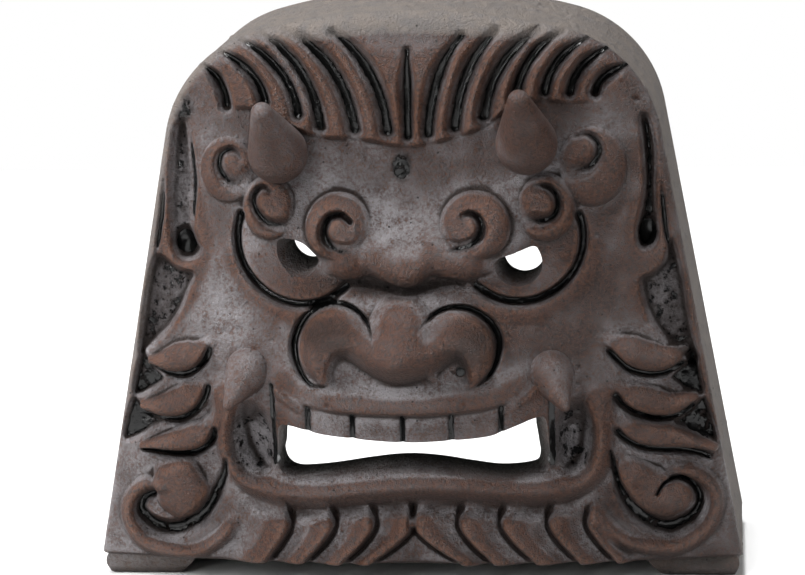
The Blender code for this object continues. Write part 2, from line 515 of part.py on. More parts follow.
def carve_mouth(sheet):
    lip = curve(LIP)
    area = sheet.window(lip, 8)
    along, away = sheet.measure(lip, area)
    sheet.height[area] += LIP_RISE * np.clip(1 - (away / 8) ** 2, 0, None) ** 1.2 * taper(along, 0.12, 0.12)
    below = np.interp(sheet.x, lip[:, 0], lip[:, 1]) - LIP_DROP - sheet.z
    sides = smooth_step(sheet.x, -64, -58) * (1 - smooth_step(sheet.x, 56, 62))
    sunk = smooth_step(below, -1.2, 1.4) * smooth_step(sheet.z, 38, 43) * sides
    sheet.height += np.minimum(TOOTH_PLANE - sheet.height, 0) * sunk
    for a, b in zip(TOOTH_NOTCHES, TOOTH_NOTCHES[1:]):
        across = (2 * sheet.x - a - b) / (b - a)
        tooth = TOOTH_RISE * np.clip(1 - np.abs(across) ** 6, 0, None) * np.clip(1 - 0.03 * below, 0, 1)
        sheet.height += tooth * sunk * smooth_step(sheet.z, 50, 56)
    for x, z, wide, high, depth in PITS:
        away = np.hypot((sheet.x - x) / wide, (sheet.z - z) / high)
        sheet.height -= depth * np.clip(1 - away**2, 0, None) ** 1.3
    roll(sheet, curve(FRAME), 7.0, FRAME_RISE, 0.05, 0.05)
    groove(sheet, curve(UNDER_LIP), 4.0, 2.4, 0.15, 0.15, 0.1)


def carve_brow(sheet):
    lift = np.zeros_like(sheet.height)
    for centre, radii, rise, ball, ball_radius, trough in SCROLLS:
        area = sheet.window([np.subtract(centre, radii), np.add(centre, radii)], 4)
        x, z = sheet.x[area], sheet.z[area]
        away = np.hypot((x - centre[0]) / radii[0], (z - centre[1]) / radii[1])
        body = rise * (1 - np.clip((away - 0.5) / 0.5, 0, 1) ** 2) ** 0.55
        along, off = sheet.measure(curve(trough), area)
        share = off / spread(along, TROUGH_BREADTHS)
        cut = spread(along, TROUGH_DEPTHS) * (1 - smooth_step(share, 0.0, 1.0))
        away = np.hypot(x - ball[0], z - ball[1]) / ball_radius
        round_end = rise * np.clip(1 - away**2, 0, None) ** 0.5
        lift[area] = np.maximum(lift[area], np.maximum(body - rise * cut, round_end))
    crest = curve(BROW_BAND)
    above = sheet.z - np.interp(sheet.x, crest[:, 0], crest[:, 1])
    under = np.clip(1 - (above / BROW_UNDER) ** 2, 0, None) ** 0.6
    over = np.exp(-((above / BROW_OVER) ** 2))
    sides = 1 - smooth_step(np.abs(sheet.x + 0.5), 24, 36)
    sheet.height += together(lift, BROW_RISE * np.where(above < 0, under, over) * sides)
    groove(sheet, curve(BROW_CREASE), 3.0, 2.6, floor=0.1)


def carve_sides(sheet):
    for spine, breadths, edge in TUFTS:
        horned(sheet, curve(spine), breadths, TUFT_RISE)
        groove(sheet, curve(edge), 2.4, 3.8, 0.15, 0.15, 0.15)
    for border, depth, slope in SUNK:
        hollow(sheet, curve(border, 4, True), depth, slope)
    for x, z, wide, high, depth in SUNK_ENDS:
        away = np.hypot((sheet.x - x) / wide, (sheet.z - z) / high)
        sheet.height -= depth * np.clip(1 - away**2, 0, None)
    for valley in VALLEYS:
        furrow(sheet, curve(valley), (0.8, 1.8, 2.0, 1.8, 0.8), (0.4, 2.0, 2.2, 2.0, 0.6))
    for spine, breadths, rise, trench, trench_breadths, outer in SPIRALS:
        swelling(sheet, (spine[0][0], spine[0][1] - 4), (12, 12), 2.0)
        deep = TRENCH_DEPTH * np.interp(np.arange(9), (0, 2, 4, 6, 8), (0.25, 0.9, 1.0, 0.9, 0.4))
        furrow(sheet, curve(trench), trench_breadths, deep)
        roll(sheet, curve(outer), 3.8, ROLL_RISE, 0.12, 0.12)
        horned(sheet, curve(spine), breadths, rise)


def carve_chin(sheet):
    notch = np.exp(-(((sheet.x + 1.2) / 11) ** 2)) * (1 - smooth_step(sheet.z, 14, 30))
    sheet.height -= 1.5 * notch
    for side, outer, lobes in CHIN:
        root = curve(outer)
        for top, bottom in lobes:
            edge = curve([(top + 2 * side, 37), (top, 31), (top - side, 24), (top + 0.3 * (bottom - top), 16.5), (bottom, 8)])
            leaf(sheet, edge, root, 5.0, 2.6, 2.2)
            root = edge


def round_edges(sheet):
    """The clay's rounded edge along the outline and along the base line."""
    inside = edge_distance(sheet.x * UNIT, real_height(sheet.z)) / UNIT
    radius = (CORNER_ROUND + (CROWN_ROUND - CORNER_ROUND) * smooth_step(sheet.z, 190, 215)) / UNIT
    short = radius - np.clip(inside, 0, radius)
    sheet.height -= radius - np.sqrt(np.clip(radius**2 - short**2, 0, None)) + 0.3 * np.clip(-inside, 0, None)
    base = BASE_ROUND / UNIT
    short = base - np.clip(sheet.z - DRAWN_UNDERSIDE, 0, base)
    sheet.height -= base - np.sqrt(base**2 - short**2)


def real_height(z):
    return FOOT_HEIGHT + (z - DRAWN_UNDERSIDE) * RISE_UNIT


def carved_face():
    sheet = Sheet(FRONT_SPACING)
    shell_form(sheet)
    carve_hair(sheet)
    carve_eyes(sheet)
    carve_nose(sheet)
    carve_mouth(sheet)
    carve_brow(sheet)
    carve_sides(sheet)
    carve_chin(sheet)
    round_edges(sheet)
    return sheet


def new_object(name, mesh, parent, helper=True):
    obj = bpy.data.objects.new(name, mesh)
    bpy.context.scene.collection.objects.link(obj)
    obj.parent = parent
    if helper:
        obj.hide_render = True
        obj.display_type = "WIRE"
    return obj


def block_mesh(name, sheet, setback, back):
    """A block whose front is the sheet's relief, moved back by setback, and whose back is flat."""
    rows, columns = sheet.x.shape
    front = np.stack([sheet.x * UNIT, setback - sheet.height * UNIT, real_height(sheet.z)], -1).reshape(-1, 3)
    corners = [0, columns - 1, rows * columns - 1, (rows - 1) * columns]
    rear = front[corners] * (1, 0, 1) + (0, back, 0)
    first = len(front)
    faces = []
    for row in range(rows - 1):
        for column in range(columns - 1):
            a = row * columns + column
            faces.append((a, a + 1, a + columns + 1, a + columns))
    bottom = list(range(columns))
    right = [(row + 1) * columns - 1 for row in range(rows)]
    top = [(rows - 1) * columns + column for column in range(columns)]
    left = [row * columns for row in range(rows)]
    faces.append([*reversed(bottom), first, first + 1])
    faces.append([*reversed(right), first + 1, first + 2])
    faces.append([*top, first + 2, first + 3])
    faces.append([*left, first + 3, first])
    faces.append((first + 3, first + 2, first + 1, first))
    mesh = bpy.data.meshes.new(name)
    mesh.from_pydata(np.vstack([front, rear]).tolist(), [], faces)
    return mesh


def loft_mesh(name, rings):
    """A closed skin over rings of equal length, each a list of points, capped at both ends."""
    mesh = bmesh.new()
    loops = [[mesh.verts.new(point) for point in ring] for ring in rings]
    for first, second in zip(loops, loops[1:]):
        for i in range(len(first)):
            j = (i + 1) % len(first)
            mesh.faces.new((first[i], first[j], second[j], second[i]))
    mesh.faces.new(reversed(loops[0]))
    mesh.faces.new(loops[-1])
    bmesh.ops.recalc_face_normals(mesh, faces=mesh.faces)
    data = bpy.data.meshes.new(name)
    mesh.to_mesh(data)
    mesh.free()
    return data


def prism(name, points, front, back, parent):
    rings = [[(x, y, z) for x, z in points] for y in (front, back)]
    return new_object(name, loft_mesh(name, rings), parent)


def cavity(parent):
    """The space inside the shell, open at the back; the shell is thicker around the mouth."""
    sheet = Sheet(INSIDE_SPACING)
    shell_form(sheet)
    x, z, wide, high, depth = MOUTH_WALL
    swelling(sheet, (x, z), (wide, high), -depth)
    space = new_object("cavity", block_mesh("cavity", sheet, FRONT_WALL, BODY_DEPTH + PAST), parent)
    sides = outline(SIDE_WALL, FOOT_HEIGHT + FLOOR_WALL)
    boolean(space, "INTERSECT", prism("cavity_sides", sides, -PAST * 2, BODY_DEPTH + PAST, parent))
    return space


def tunnel(name, sections, parent):
    """A cutter through the front: borders of equal length, each at its distance out."""
    rings = []
    for out, border in sections:
        rings.append([(x * UNIT, -out * UNIT, real_height(z)) for x, z in border])
    return new_object(name, loft_mesh(name, rings), parent)


def mouth_cutter(parent):
    front = curve(MOUTH_FRONT, 2, True)
    back = front * (MOUTH_BACK_SHARE, 1) + (MOUTH_BACK_SHIFT, 0)
    middle = front[:, 1].mean()
    back[:, 1] += MOUTH_BACK_LIFT * (1 - smooth_step(front[:, 1], middle - 6, middle + 3))
    sections = ((60.0, front), (TOOTH_PLANE, front), (MOUTH_BACK_PLANE, back), (-30.0, back))
    return tunnel("mouth_cutter", sections, parent)


def pupil_cutter(name, points, share, shift, parent):
    front = curve(points, 2, True)
    middle = front.mean(axis=0)
    back = middle + (front - middle) * share + shift
    return tunnel(name, ((60.0, front), (16.0, front), (2.0, back), (-30.0, back)), parent)


def spike(name, root, root_radius, tip, tip_radius, parent):
    """A horn or a fang: a stout cone with a round root and a round tip."""
    start = Vector((root[0] * UNIT, -root[2] * UNIT, real_height(root[1])))
    end = Vector((tip[0] * UNIT, -tip[2] * UNIT, real_height(tip[1])))
    length = (end - start).length
    rings = []
    low, high = root_radius * UNIT, tip_radius * UNIT
    for angle in (-70, -40, -10):
        a = np.radians(angle)
        rings.append((low * np.sin(a), low * np.cos(a)))
    rings.append((length * 0.45, high + (low - high) * 0.66))
    for angle in (5, 40, 75):
        a = np.radians(angle)
        rings.append((length + high * np.sin(a), high * np.cos(a)))
    turn = np.linspace(0, 2 * np.pi, 14, endpoint=False)
    loops = [[(radius * np.cos(a), radius * np.sin(a), along) for a in turn] for along, radius in rings]
    mesh = loft_mesh(name, loops)
    spin = (end - start).to_track_quat("Z", "Y").to_matrix().to_4x4()
    mesh.transform(Matrix.Translation(start) @ spin)
    return new_object(name, mesh, parent)


def foot(name, side, parent):
    """A flattened roll of clay luted under one edge of the body."""
    outer = BASE_WIDTH / 2 - FOOT_SETBACK
    inner = outer - FOOT_WIDTH
    round_off = FOOT_HEIGHT * 0.4
    top = FOOT_HEIGHT + OVERLAP
    section = [
        (outer - OVERLAP, top),
        (outer, FOOT_HEIGHT * 0.7),
        (outer - round_off * 0.4, round_off * 0.4),
        (outer - round_off * 1.4, 0.0),
        (inner + FOOT_SPLAY + round_off, 0.0),
        (inner + FOOT_SPLAY * 0.6, round_off * 0.6),
        (inner, FOOT_HEIGHT),
        (inner + OVERLAP, top),
    ]
    low = FOOT_SETBACK
    high = BODY_DEPTH - FOOT_SETBACK
    rings = []
    for y, lift in ((low, round_off), (low + round_off * 0.3, round_off * 0.3), (low + round_off, 0.0),
                    (high - round_off, 0.0), (high - round_off * 0.3, round_off * 0.3), (high, round_off)):
        rings.append([(side * x, y, max(z, lift)) for x, z in section])
    return new_object(name, loft_mesh(name, rings), parent)


def boolean(obj, operation, other):
    modifier = obj.modifiers.new(other.name, "BOOLEAN")
    modifier.operation = operation
    modifier.solver = "EXACT"
    modifier.object = other


def stoneware():
    material = bpy.data.materials.new("stoneware")
    material.use_nodes = True
    shader = material.node_tree.nodes["Principled BSDF"]
    shader.inputs["Base Color"].default_value = (0.072, 0.044, 0.036, 1.0)
    shader.inputs["Roughness"].default_value = 0.5
    shader.inputs["Metallic"].default_value = 0.0
    return material


def build():
    clear_scene()
    origin = bpy.data.objects.new("tile_origin", None)
    bpy.context.scene.collection.objects.link(origin)

    mesh = block_mesh("onigawara", carved_face(), 0.0, BODY_DEPTH + OVERLAP)
    tile = new_object("onigawara", mesh, origin, helper=False)
    mesh.materials.append(stoneware())
    mesh.shade_smooth()
    mesh.set_sharp_from_angle(angle=np.radians(50))

    fewer = tile.modifiers.new("fewer_faces", "DECIMATE")
    fewer.ratio = FRONT_SHARE
    body = prism("body_outline", outline(0.0, FOOT_HEIGHT), -PAST * 2, BODY_DEPTH, origin)
    boolean(tile, "INTERSECT", body)
    for n, horn in enumerate(HORNS + FANGS):
        boolean(tile, "UNION", spike(f"spike_{n}", *horn, origin))
    boolean(tile, "DIFFERENCE", cavity(origin))
    boolean(tile, "DIFFERENCE", mouth_cutter(origin))
    for n, pupil in enumerate(PUPILS):
        boolean(tile, "DIFFERENCE", pupil_cutter(f"pupil_cutter_{n}", *pupil, origin))
    for side in (-1, 1):
        boolean(tile, "UNION", foot("foot_left" if side < 0 else "foot_right", side, origin))

    bpy.context.view_layer.update()
    finished = tile.evaluated_get(bpy.context.evaluated_depsgraph_get())
    depths = [corner[1] for corner in finished.bound_box]
    origin.location.y = -(min(depths) + max(depths)) / 2


build()
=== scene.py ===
import json

import bmesh
import bpy
import numpy as np
from mathutils import Matrix, Vector

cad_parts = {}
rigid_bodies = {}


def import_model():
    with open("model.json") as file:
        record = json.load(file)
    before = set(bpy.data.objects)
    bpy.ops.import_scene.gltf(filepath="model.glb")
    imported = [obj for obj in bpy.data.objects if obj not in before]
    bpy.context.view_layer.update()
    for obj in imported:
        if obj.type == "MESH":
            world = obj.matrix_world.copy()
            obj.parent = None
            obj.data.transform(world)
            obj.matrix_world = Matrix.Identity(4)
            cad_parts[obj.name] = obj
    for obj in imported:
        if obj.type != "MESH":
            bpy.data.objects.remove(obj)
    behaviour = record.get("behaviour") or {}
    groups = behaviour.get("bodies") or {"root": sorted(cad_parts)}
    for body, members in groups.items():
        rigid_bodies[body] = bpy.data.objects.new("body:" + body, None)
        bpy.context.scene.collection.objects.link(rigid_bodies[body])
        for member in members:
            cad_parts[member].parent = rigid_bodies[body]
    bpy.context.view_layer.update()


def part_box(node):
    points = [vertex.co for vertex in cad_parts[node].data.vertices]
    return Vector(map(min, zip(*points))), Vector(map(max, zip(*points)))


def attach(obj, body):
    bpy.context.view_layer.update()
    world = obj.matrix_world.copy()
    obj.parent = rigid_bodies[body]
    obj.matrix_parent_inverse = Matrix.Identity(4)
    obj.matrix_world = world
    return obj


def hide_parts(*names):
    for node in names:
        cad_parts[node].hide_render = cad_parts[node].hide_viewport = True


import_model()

# Real sizes, in metres, as the CAD has them
LOW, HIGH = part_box("onigawara")
BASE_WIDTH = HIGH.x - LOW.x
FOOT_HEIGHT = 0.0085
BODY_HEIGHT = HIGH.z - FOOT_HEIGHT
BODY_DEPTH = 0.085
FRONT = HIGH.y - BODY_DEPTH
SIDE_LEAN = 0.184
CROWN_RADIUS = 0.230
SHOULDER_RADIUS = 0.050
SIDE_WALL = 0.0095
FLOOR_WALL = 0.0100
FRONT_WALL = 0.0105
FOOT_WIDTH = 0.037
FOOT_SPLAY = 0.008
FOOT_SETBACK = 0.0015
CORNER_ROUND = 0.0032
CROWN_ROUND = 0.0065
BASE_ROUND = 0.0025

# The drawing's own size, in millimetres
DRAWN_BASE = 256.0
DRAWN_HEIGHT = 217.5
DRAWN_UNDERSIDE = 8.5
UNIT = BASE_WIDTH / DRAWN_BASE
RISE_UNIT = BODY_HEIGHT / DRAWN_HEIGHT

# Fineness
DRAWING_SPACING = 0.4
FACE_COLUMNS = 560
FACE_ROWS = 480
WALL_ROWS = 60
FACES_KEPT = 172000
INSIDE_SPACING = 5.0
MARGIN = 3.0
PAST = 0.030
SHARP_EDGE = np.radians(60)

# The clay's own surface: unevenness as height, grain and seed; lumps in thin glaze; pits; grains on the walls
WORKED = ((0.10, 3.2, 3), (0.05, 1.3, 4))
LUMPS = (0.55, 1.0, 5)
THICK_GLAZE = 0.78
PIT_COUNT = 150
PIT_SPAN = ((-118, 12), (118, 214))
PIT_RADII = (0.45, 0.95)
PIT_DEPTH = 0.9
PIT_SEED = 6
WALL_WORKED = (0.00010, 2.5, 7)
WALL_SET_IN = 0.00025
WALL_MOST = 0.0003
GRAIN_COUNT = 420
GRAIN_RADII = (0.0008, 0.0016)
GRAIN_RISE = 0.45
GRAIN_REACH = 12
GRAIN_SEED = 8
DIP_REACH = 2.0
SUNKEN_REACH = 6.0

# The shell's large forms, in drawn millimetres
BULGE = 14.0
BULGE_LOST_AT_CROWN = 0.5
MUZZLE = 24.0
MUZZLE_FALL = 16.0

# Hair: each lock's groove from its top to its end, and half its breadth
HAIR = (
    (-80.3, 205.0, -71.7, 190.0, 2.8),
    (-73.8, 210.8, -56.2, 191.6, 3.2),
    (-65.4, 215.5, -43.2, 186.8, 3.6),
    (-57.4, 218.3, -34.6, 182.2, 3.9),
    (-46.8, 219.6, -21.2, 181.0, 4.3),
    (-28.8, 218.4, -8.4, 180.3, 4.2),
    (-0.2, 211.2, -0.6, 178.0, 3.4),
    (20.8, 216.5, 7.3, 179.2, 4.0),
    (34.2, 218.3, 17.9, 181.5, 4.2),
    (50.2, 218.5, 29.2, 185.5, 4.0),
    (58.9, 217.5, 41.5, 193.0, 3.5),
    (68.7, 214.7, 52.4, 194.5, 3.4),
    (76.6, 210.7, 62.0, 194.3, 3.2),
    (83.7, 203.8, 71.6, 194.0, 2.8),
)
HAIRLINE = ((-92, 186), (-70, 189), (-56, 188), (-38, 179), (-20, 177.5), (0, 174.5), (18, 178), (30, 182.5),
            (43, 191), (60, 191), (74, 190), (92, 188))
HAIR_RISE = 3.6
HAIR_DEPTH_TOP = 2.2
HAIR_DEPTH_END = 5.8

# Eyes: centre and radius of each eyeball; each pupil's hole in front, and its size and shift behind
EYEBALLS = ((-43.0, 138.2, 24.0), (42.3, 137.9, 23.0))
EYE_RISE = 3.5
PUPILS = (
    (((-53.4, 137.0), (-52.9, 130.0), (-50.1, 125.4), (-45.7, 123.0), (-41.0, 123.4), (-37.4, 126.6),
      (-36.0, 130.4), (-38.8, 134.0), (-42.5, 136.9), (-48.0, 138.2)), 0.82, (4.9, 5.6)),
    (((32.5, 129.8), (33.0, 124.8), (36.2, 121.0), (41.2, 119.3), (46.4, 120.4), (49.8, 123.8),
      (50.9, 128.4), (49.9, 133.0), (47.4, 135.5), (40.0, 132.9)), 0.84, (1.8, 3.4)),
)

# Scrolls of the brow: centre, radii, rise, ball, its radius, and the trough that winds round the ball
SCROLLS = (
    ((-71.5, 165.0), (11.0, 13.0), 3.0, (-69.0, 167.0), 4.6,
     ((-60.9, 164.2), (-64.1, 161.1), (-68.1, 159.7), (-71.9, 161.5), (-74.6, 166.2), (-73.8, 170.9),
      (-70.4, 173.0), (-67.4, 172.0), (-66.2, 169.6))),
    ((70.4, 165.4), (13.2, 15.4), 3.4, (66.2, 171.0), 5.4,
     ((58.4, 164.6), (64.1, 164.0), (70.2, 166.4), (73.2, 171.6), (71.7, 175.8), (68.1, 178.0), (64.3, 177.2))),
    ((-55.2, 150.8), (10.6, 12.2), 5.0, (-52.0, 152.2), 5.2,
     ((-43.6, 150.7), (-45.2, 146.2), (-49.6, 144.5), (-55.0, 145.1), (-59.2, 148.6), (-61.0, 153.0),
      (-60.0, 156.7), (-57.4, 158.6), (-54.4, 157.4))),
    ((52.8, 150.4), (11.2, 12.8), 5.0, (48.6, 154.0), 5.6,
     ((41.6, 150.8), (44.2, 147.2), (49.2, 145.6), (54.6, 146.6), (57.2, 150.4), (56.4, 155.3), (53.0, 158.4),
      (48.6, 158.2))),
    ((-27.8, 143.8), (12.8, 13.4), 7.0, (-26.4, 142.4), 5.2,
     ((-14.0, 136.6), (-21.0, 134.8), (-27.5, 135.4), (-31.7, 138.3), (-33.1, 142.3), (-31.9, 146.4),
      (-29.5, 148.4), (-26.0, 148.6), (-22.7, 146.0))),
    ((25.2, 143.8), (14.0, 13.6), 7.0, (19.2, 144.8), 7.2,
     ((8.5, 138.8), (14.5, 135.5), (20.8, 136.0), (25.9, 138.8), (28.1, 143.2), (27.0, 147.0), (24.1, 148.9),
      (21.4, 148.2))),
)
TROUGH_BREADTHS = (5.6, 5.2, 4.6, 3.8, 3.1, 2.6, 2.0)
TROUGH_DEPTHS = (0.45, 0.72, 0.88, 0.96, 0.96, 0.90, 0.55)
BROW_BAND = ((-36, 134.6), (-30.3, 132.0), (-22.6, 130.2), (-16.1, 132.2), (-11.0, 130.0), (-4.6, 127.6),
             (1.7, 128.0), (8.3, 132.0), (14.7, 130.6), (21.0, 129.9), (27.6, 131.6), (36.0, 134.6))
BROW_RISE = 6.6
BROW_UNDER = 7.6
BROW_OVER = 13.0
BROW_CREASE = ((-33, 117.5), (-29.5, 119.1), (-22.8, 121.4), (-15.0, 121.0), (-8.8, 119.8), (-2.3, 118.4),
               (3.6, 119.2), (11.4, 121.3), (18.4, 121.8), (26, 118.2))

# Nose: wings, the hollows under them, the crest from hook to hook, the tip, and the grooves round the wings
WINGS = ((-28.7, 97.6, 15.7), (17.6, 96.2, 15.4))
WING_RISE = 6.4
NOSTRILS = ((-23.8, 85.2, 8.6, 11.2), (16.2, 86.2, 6.8, 9.8))
NOSE_CREST = ((-34.0, 86.0), (-36.0, 89.8), (-36.9, 95.0), (-34.2, 99.8), (-29.3, 101.8), (-22.7, 101.0),
              (-16.2, 98.4), (-9.9, 95.2), (-3.9, 93.6), (4.8, 95.2), (11.2, 98.4), (17.8, 101.0), (23.0, 99.8),
              (26.9, 95.9), (27.5, 91.0), (25.1, 87.0))
CREST_BREADTHS = (3.6, 5.8, 7.2, 8.4, 9.6, 10.4, 9.6, 8.4, 7.2, 5.8, 3.6)
CREST_RISES = (3.6, 6.4, 7.4, 7.2, 7.8, 9.0, 7.8, 7.2, 7.4, 6.4, 3.6)
NOSE_TIP = (-3.8, 95.0, 15.0, 9.0, 24.0)
NOSE_TIP_RISE = 9.6
WING_BORDERS = (
    ((-13.9, 99.3), (-15.1, 104.5), (-18.3, 109.1), (-23.1, 112.5), (-29.1, 113.9), (-36.6, 111.9),
     (-42.1, 107.1), (-45.4, 100.1), (-45.6, 93.7), (-43.1, 87.1), (-39.1, 82.9), (-33.7, 81.9)),
    ((3.5, 104.5), (6.7, 108.3), (11.7, 111.3), (17.3, 112.3), (24.1, 111.0), (30.7, 106.3), (34.0, 99.8),
     (33.4, 92.8), (30.5, 86.7), (26.1, 83.1)),
)
BORDER_BREADTHS = (0.9, 1.4, 1.8, 2.2, 2.9, 2.8, 1.8, 0.9)
BORDER_DEPTHS = (0.6, 2.0, 2.8, 3.4, 4.2, 4.2, 2.6, 0.8)

# Mouth: crest of the lip over the teeth, notches between them, pits at its corners, frame, and the opening
LIP = ((-60.0, 91.0), (-52.4, 85.6), (-43.8, 79.4), (-29.2, 76.1), (-7.9, 75.2), (11.5, 75.5), (30.9, 77.7),
       (43.5, 82.8), (51.0, 89.5))
LIP_RISE = 3.0
LIP_DROP = 4.3
TOOTH_NOTCHES = (-55.0, -40.8, -23.4, -3.8, 15.2, 34.6, 54.0)
TOOTH_PLANE = 19.0
TOOTH_RISE = 2.6
PITS = ((-64.2, 57.4, 11.5, 18.0, 8.5), (62.8, 59.0, 10.0, 17.5, 8.5))
FRAME = ((-73.5, 86), (-74.6, 76.9), (-74.2, 67.9), (-73.4, 58.9), (-71.6, 51.4), (-65.6, 43.2), (-55.3, 38.8),
         (-38.6, 37.8), (-18.9, 40.0), (0.7, 41.8), (20.3, 41.0), (39.7, 39.0), (59.1, 40.0), (69.2, 47.0),
         (72.4, 60.8), (72.8, 73.0), (71.5, 84))
FRAME_RISE = 5.0
UNDER_LIP = ((-74.6, 42.0), (-66.1, 32.2), (-53.4, 28.4), (-37.5, 28.6), (-19.7, 30.6), (-2.0, 31.6),
             (17.7, 30.8), (41.2, 29.3), (58.8, 31.0), (69.6, 38.6))
MOUTH_FRONT = ((-53.0, 65.0), (-48.0, 65.8), (-38.3, 63.4), (-23.6, 61.2), (-4.1, 59.7), (15.5, 60.5),
               (30.1, 62.3), (39.9, 65.9), (46.9, 68.5), (52.2, 68.8), (54.2, 61.9), (55.5, 52.9),
               (55.4, 46.8), (52.6, 43.8), (39.4, 42.6), (25.8, 44.2), (14.1, 46.0), (2.4, 47.0),
               (-7.5, 46.7), (-19.3, 45.3), (-29.2, 43.8), (-39.1, 42.6), (-48.9, 42.2), (-53.8, 44.6),
               (-55.4, 49.6), (-54.5, 57.0))
MOUTH_BACK_SHARE = 0.912
MOUTH_BACK_SHIFT = -2.0
MOUTH_BACK_LIFT = 3.4
MOUTH_BACK_PLANE = 2.0
MOUTH_WALL = (0.0, 52.0, 60.0, 19.0, 8.5)

# Horns and fangs: root and tip, each (across, up, out), with their radii
HORNS = (
    ((-50.8, 172.4, 12.0), 11.7, (-54.0, 190.8, 31.0), 4.2),
    ((45.4, 175.4, 11.5), 12.0, (43.8, 194.8, 31.0), 4.2),
)
FANGS = (
    ((-64.6, 86.8, 12.6), 9.0, (-71.6, 75.0, 24.0), 1.8),
    ((53.4, 86.2, 13.2), 9.2, (59.6, 74.6, 24.5), 1.8),
)

# Cheek tufts: spine from root to tip, half breadths along it, and the groove under its lower edge
TUFTS = (
    (((-78.6, 100.5), (-80.6, 96.5), (-85.6, 92.7), (-92.1, 90.7), (-98.7, 88.8), (-104.6, 88.8)),
     (1.0, 3.6, 6.0, 6.2, 4.8, 1.6),
     ((-105.6, 87.6), (-99.4, 84.0), (-93, 83.0), (-87.4, 85), (-82.4, 90.0), (-79.2, 97))),
    (((-79.6, 85.9), (-81.8, 80.7), (-86.1, 76.3), (-92.7, 72.8), (-100.4, 70.6), (-108.6, 70.6)),
     (1.2, 4.2, 6.6, 6.2, 4.4, 1.4),
     ((-110.0, 68.0), (-104, 65.8), (-99.0, 64.9), (-92.8, 65.7), (-86.6, 69.6), (-82.6, 75.2), (-80.0, 82.5))),
    (((-77.4, 72.4), (-79.2, 66.9), (-82.6, 61.8), (-88.9, 58.6), (-97.7, 56.5), (-109.5, 54.3)),
     (1.4, 4.0, 5.8, 5.0, 3.2, 1.0),
     ((-112, 52.6), (-102.4, 52.4), (-94.1, 51.8), (-86.7, 52.6), (-80.9, 57.2), (-77.8, 65.5))),
    (((71.6, 99.5), (77.4, 97.1), (83.5, 94.3), (88.9, 91.7), (97.0, 89.6), (105.6, 92.4)),
     (1.0, 3.4, 6.0, 6.2, 4.8, 1.6),
     ((74.6, 95.6), (79.4, 89.6), (85.0, 85.0), (93.6, 83.0), (101.7, 84.8), (106.8, 89.0))),
    (((76.2, 84.9), (79.2, 79.5), (83.8, 75.8), (90.9, 73.2), (99.6, 71.4), (109.2, 74.0)),
     (1.2, 4.0, 6.2, 6.1, 4.4, 1.4),
     ((77.0, 78.4), (82.2, 71.4), (90.0, 66.9), (98.1, 65.7), (105.9, 67.5), (110.3, 72.4))),
    (((76.4, 73.4), (79.0, 67.1), (83.8, 63.0), (91.8, 60.2), (101.3, 58.6), (109.8, 56.7), (117.0, 53.5)),
     (1.2, 3.8, 5.6, 5.3, 3.8, 1.4),
     ((77.6, 64.6), (82.2, 58.2), (89.0, 54.5), (97.0, 53.2), (106.6, 52.0), (118.2, 48.4))),
)
TUFT_RISE = 5.8

# Sunk fields of the sides: border, depth, slope and glaze; the gaps between the tufts, alike on both sides;
# the wells at the fields' lower ends; and thin valleys beside them
SUNK = (
    (((-93.6, 178.8), (-95.3, 163.5), (-96.3, 147.0), (-95.6, 135.9), (-92.6, 128.8), (-86.9, 128.4),
      (-83.3, 131.0), (-82.5, 134.2), (-85.2, 137.0), (-86.1, 142.6), (-85.8, 150.2), (-85.0, 160.1),
      (-85.8, 166.7), (-86.8, 179.9), (-89.8, 184.5)), 5.0, 3.2, 0.55),
    (((88.6, 183.2), (89.4, 171.1), (90.1, 159.0), (89.2, 151.6), (87.1, 141.9), (87.1, 135.2), (89.7, 132.4),
      (94.5, 135.1), (95.8, 143.1), (94.9, 151.6), (94.7, 158.9), (94.8, 171.1), (93.0, 180.8), (90.7, 185.1)),
     5.2, 2.6, 0.75),
    (((-86.1, 123.4), (-89.1, 115.3), (-92.6, 107.6), (-98.4, 99.7), (-108.6, 90.7), (-109.9, 94.8),
      (-107.9, 110.5), (-105.5, 122.5), (-102.5, 129.7), (-99.2, 130.5), (-96.1, 128.1),
    (-91.9, 125.3)), 5.0, 2.4, 0.58), (((88.3, 120.5), (89.7, 110.6), (94.2, 100.7), (101.5, 92.1),
      (109.0, 85.0), (111.4, 88.4), (109.1, 97.0), (107.0, 109.4), (105.6, 119.2), (103.3, 129.1),
     (101.1, 135.7), (99.3, 134.0), (97.4, 127.9), (93.2, 123.5)), 5.0, 2.4, 0.58),
)
TUFT_GAPS = (
    ((109, 92), (113.2, 76), (110.5, 73.5), (103, 77.5), (99.5, 81.5), (104.5, 86)),
    ((113.2, 73), (118, 57), (113, 56.0), (105, 60.5), (101, 63.5), (107, 67.5)),
)
TUFT_GAP = (4.5, 2.0, 0.8)
SUNK_ENDS = ((-89.6, 135.4, 6.2, 7.4, 4.6), (91.4, 138.6, 5.2, 8.0, 4.2))
VALLEYS = (
    ((-97.3, 162.1), (-98.1, 154.6), (-98.9, 146.7), (-100.6, 136.5), (-102.3, 129.0)),
    ((96.8, 158.5), (97.4, 149.7), (98.1, 141.8), (99.2, 135.0), (100.3, 129.8)),
    ((-86.8, 181.0), (-85.6, 168.0), (-85.0, 158.0), (-85.8, 149.0), (-86.1, 141.0)),
)

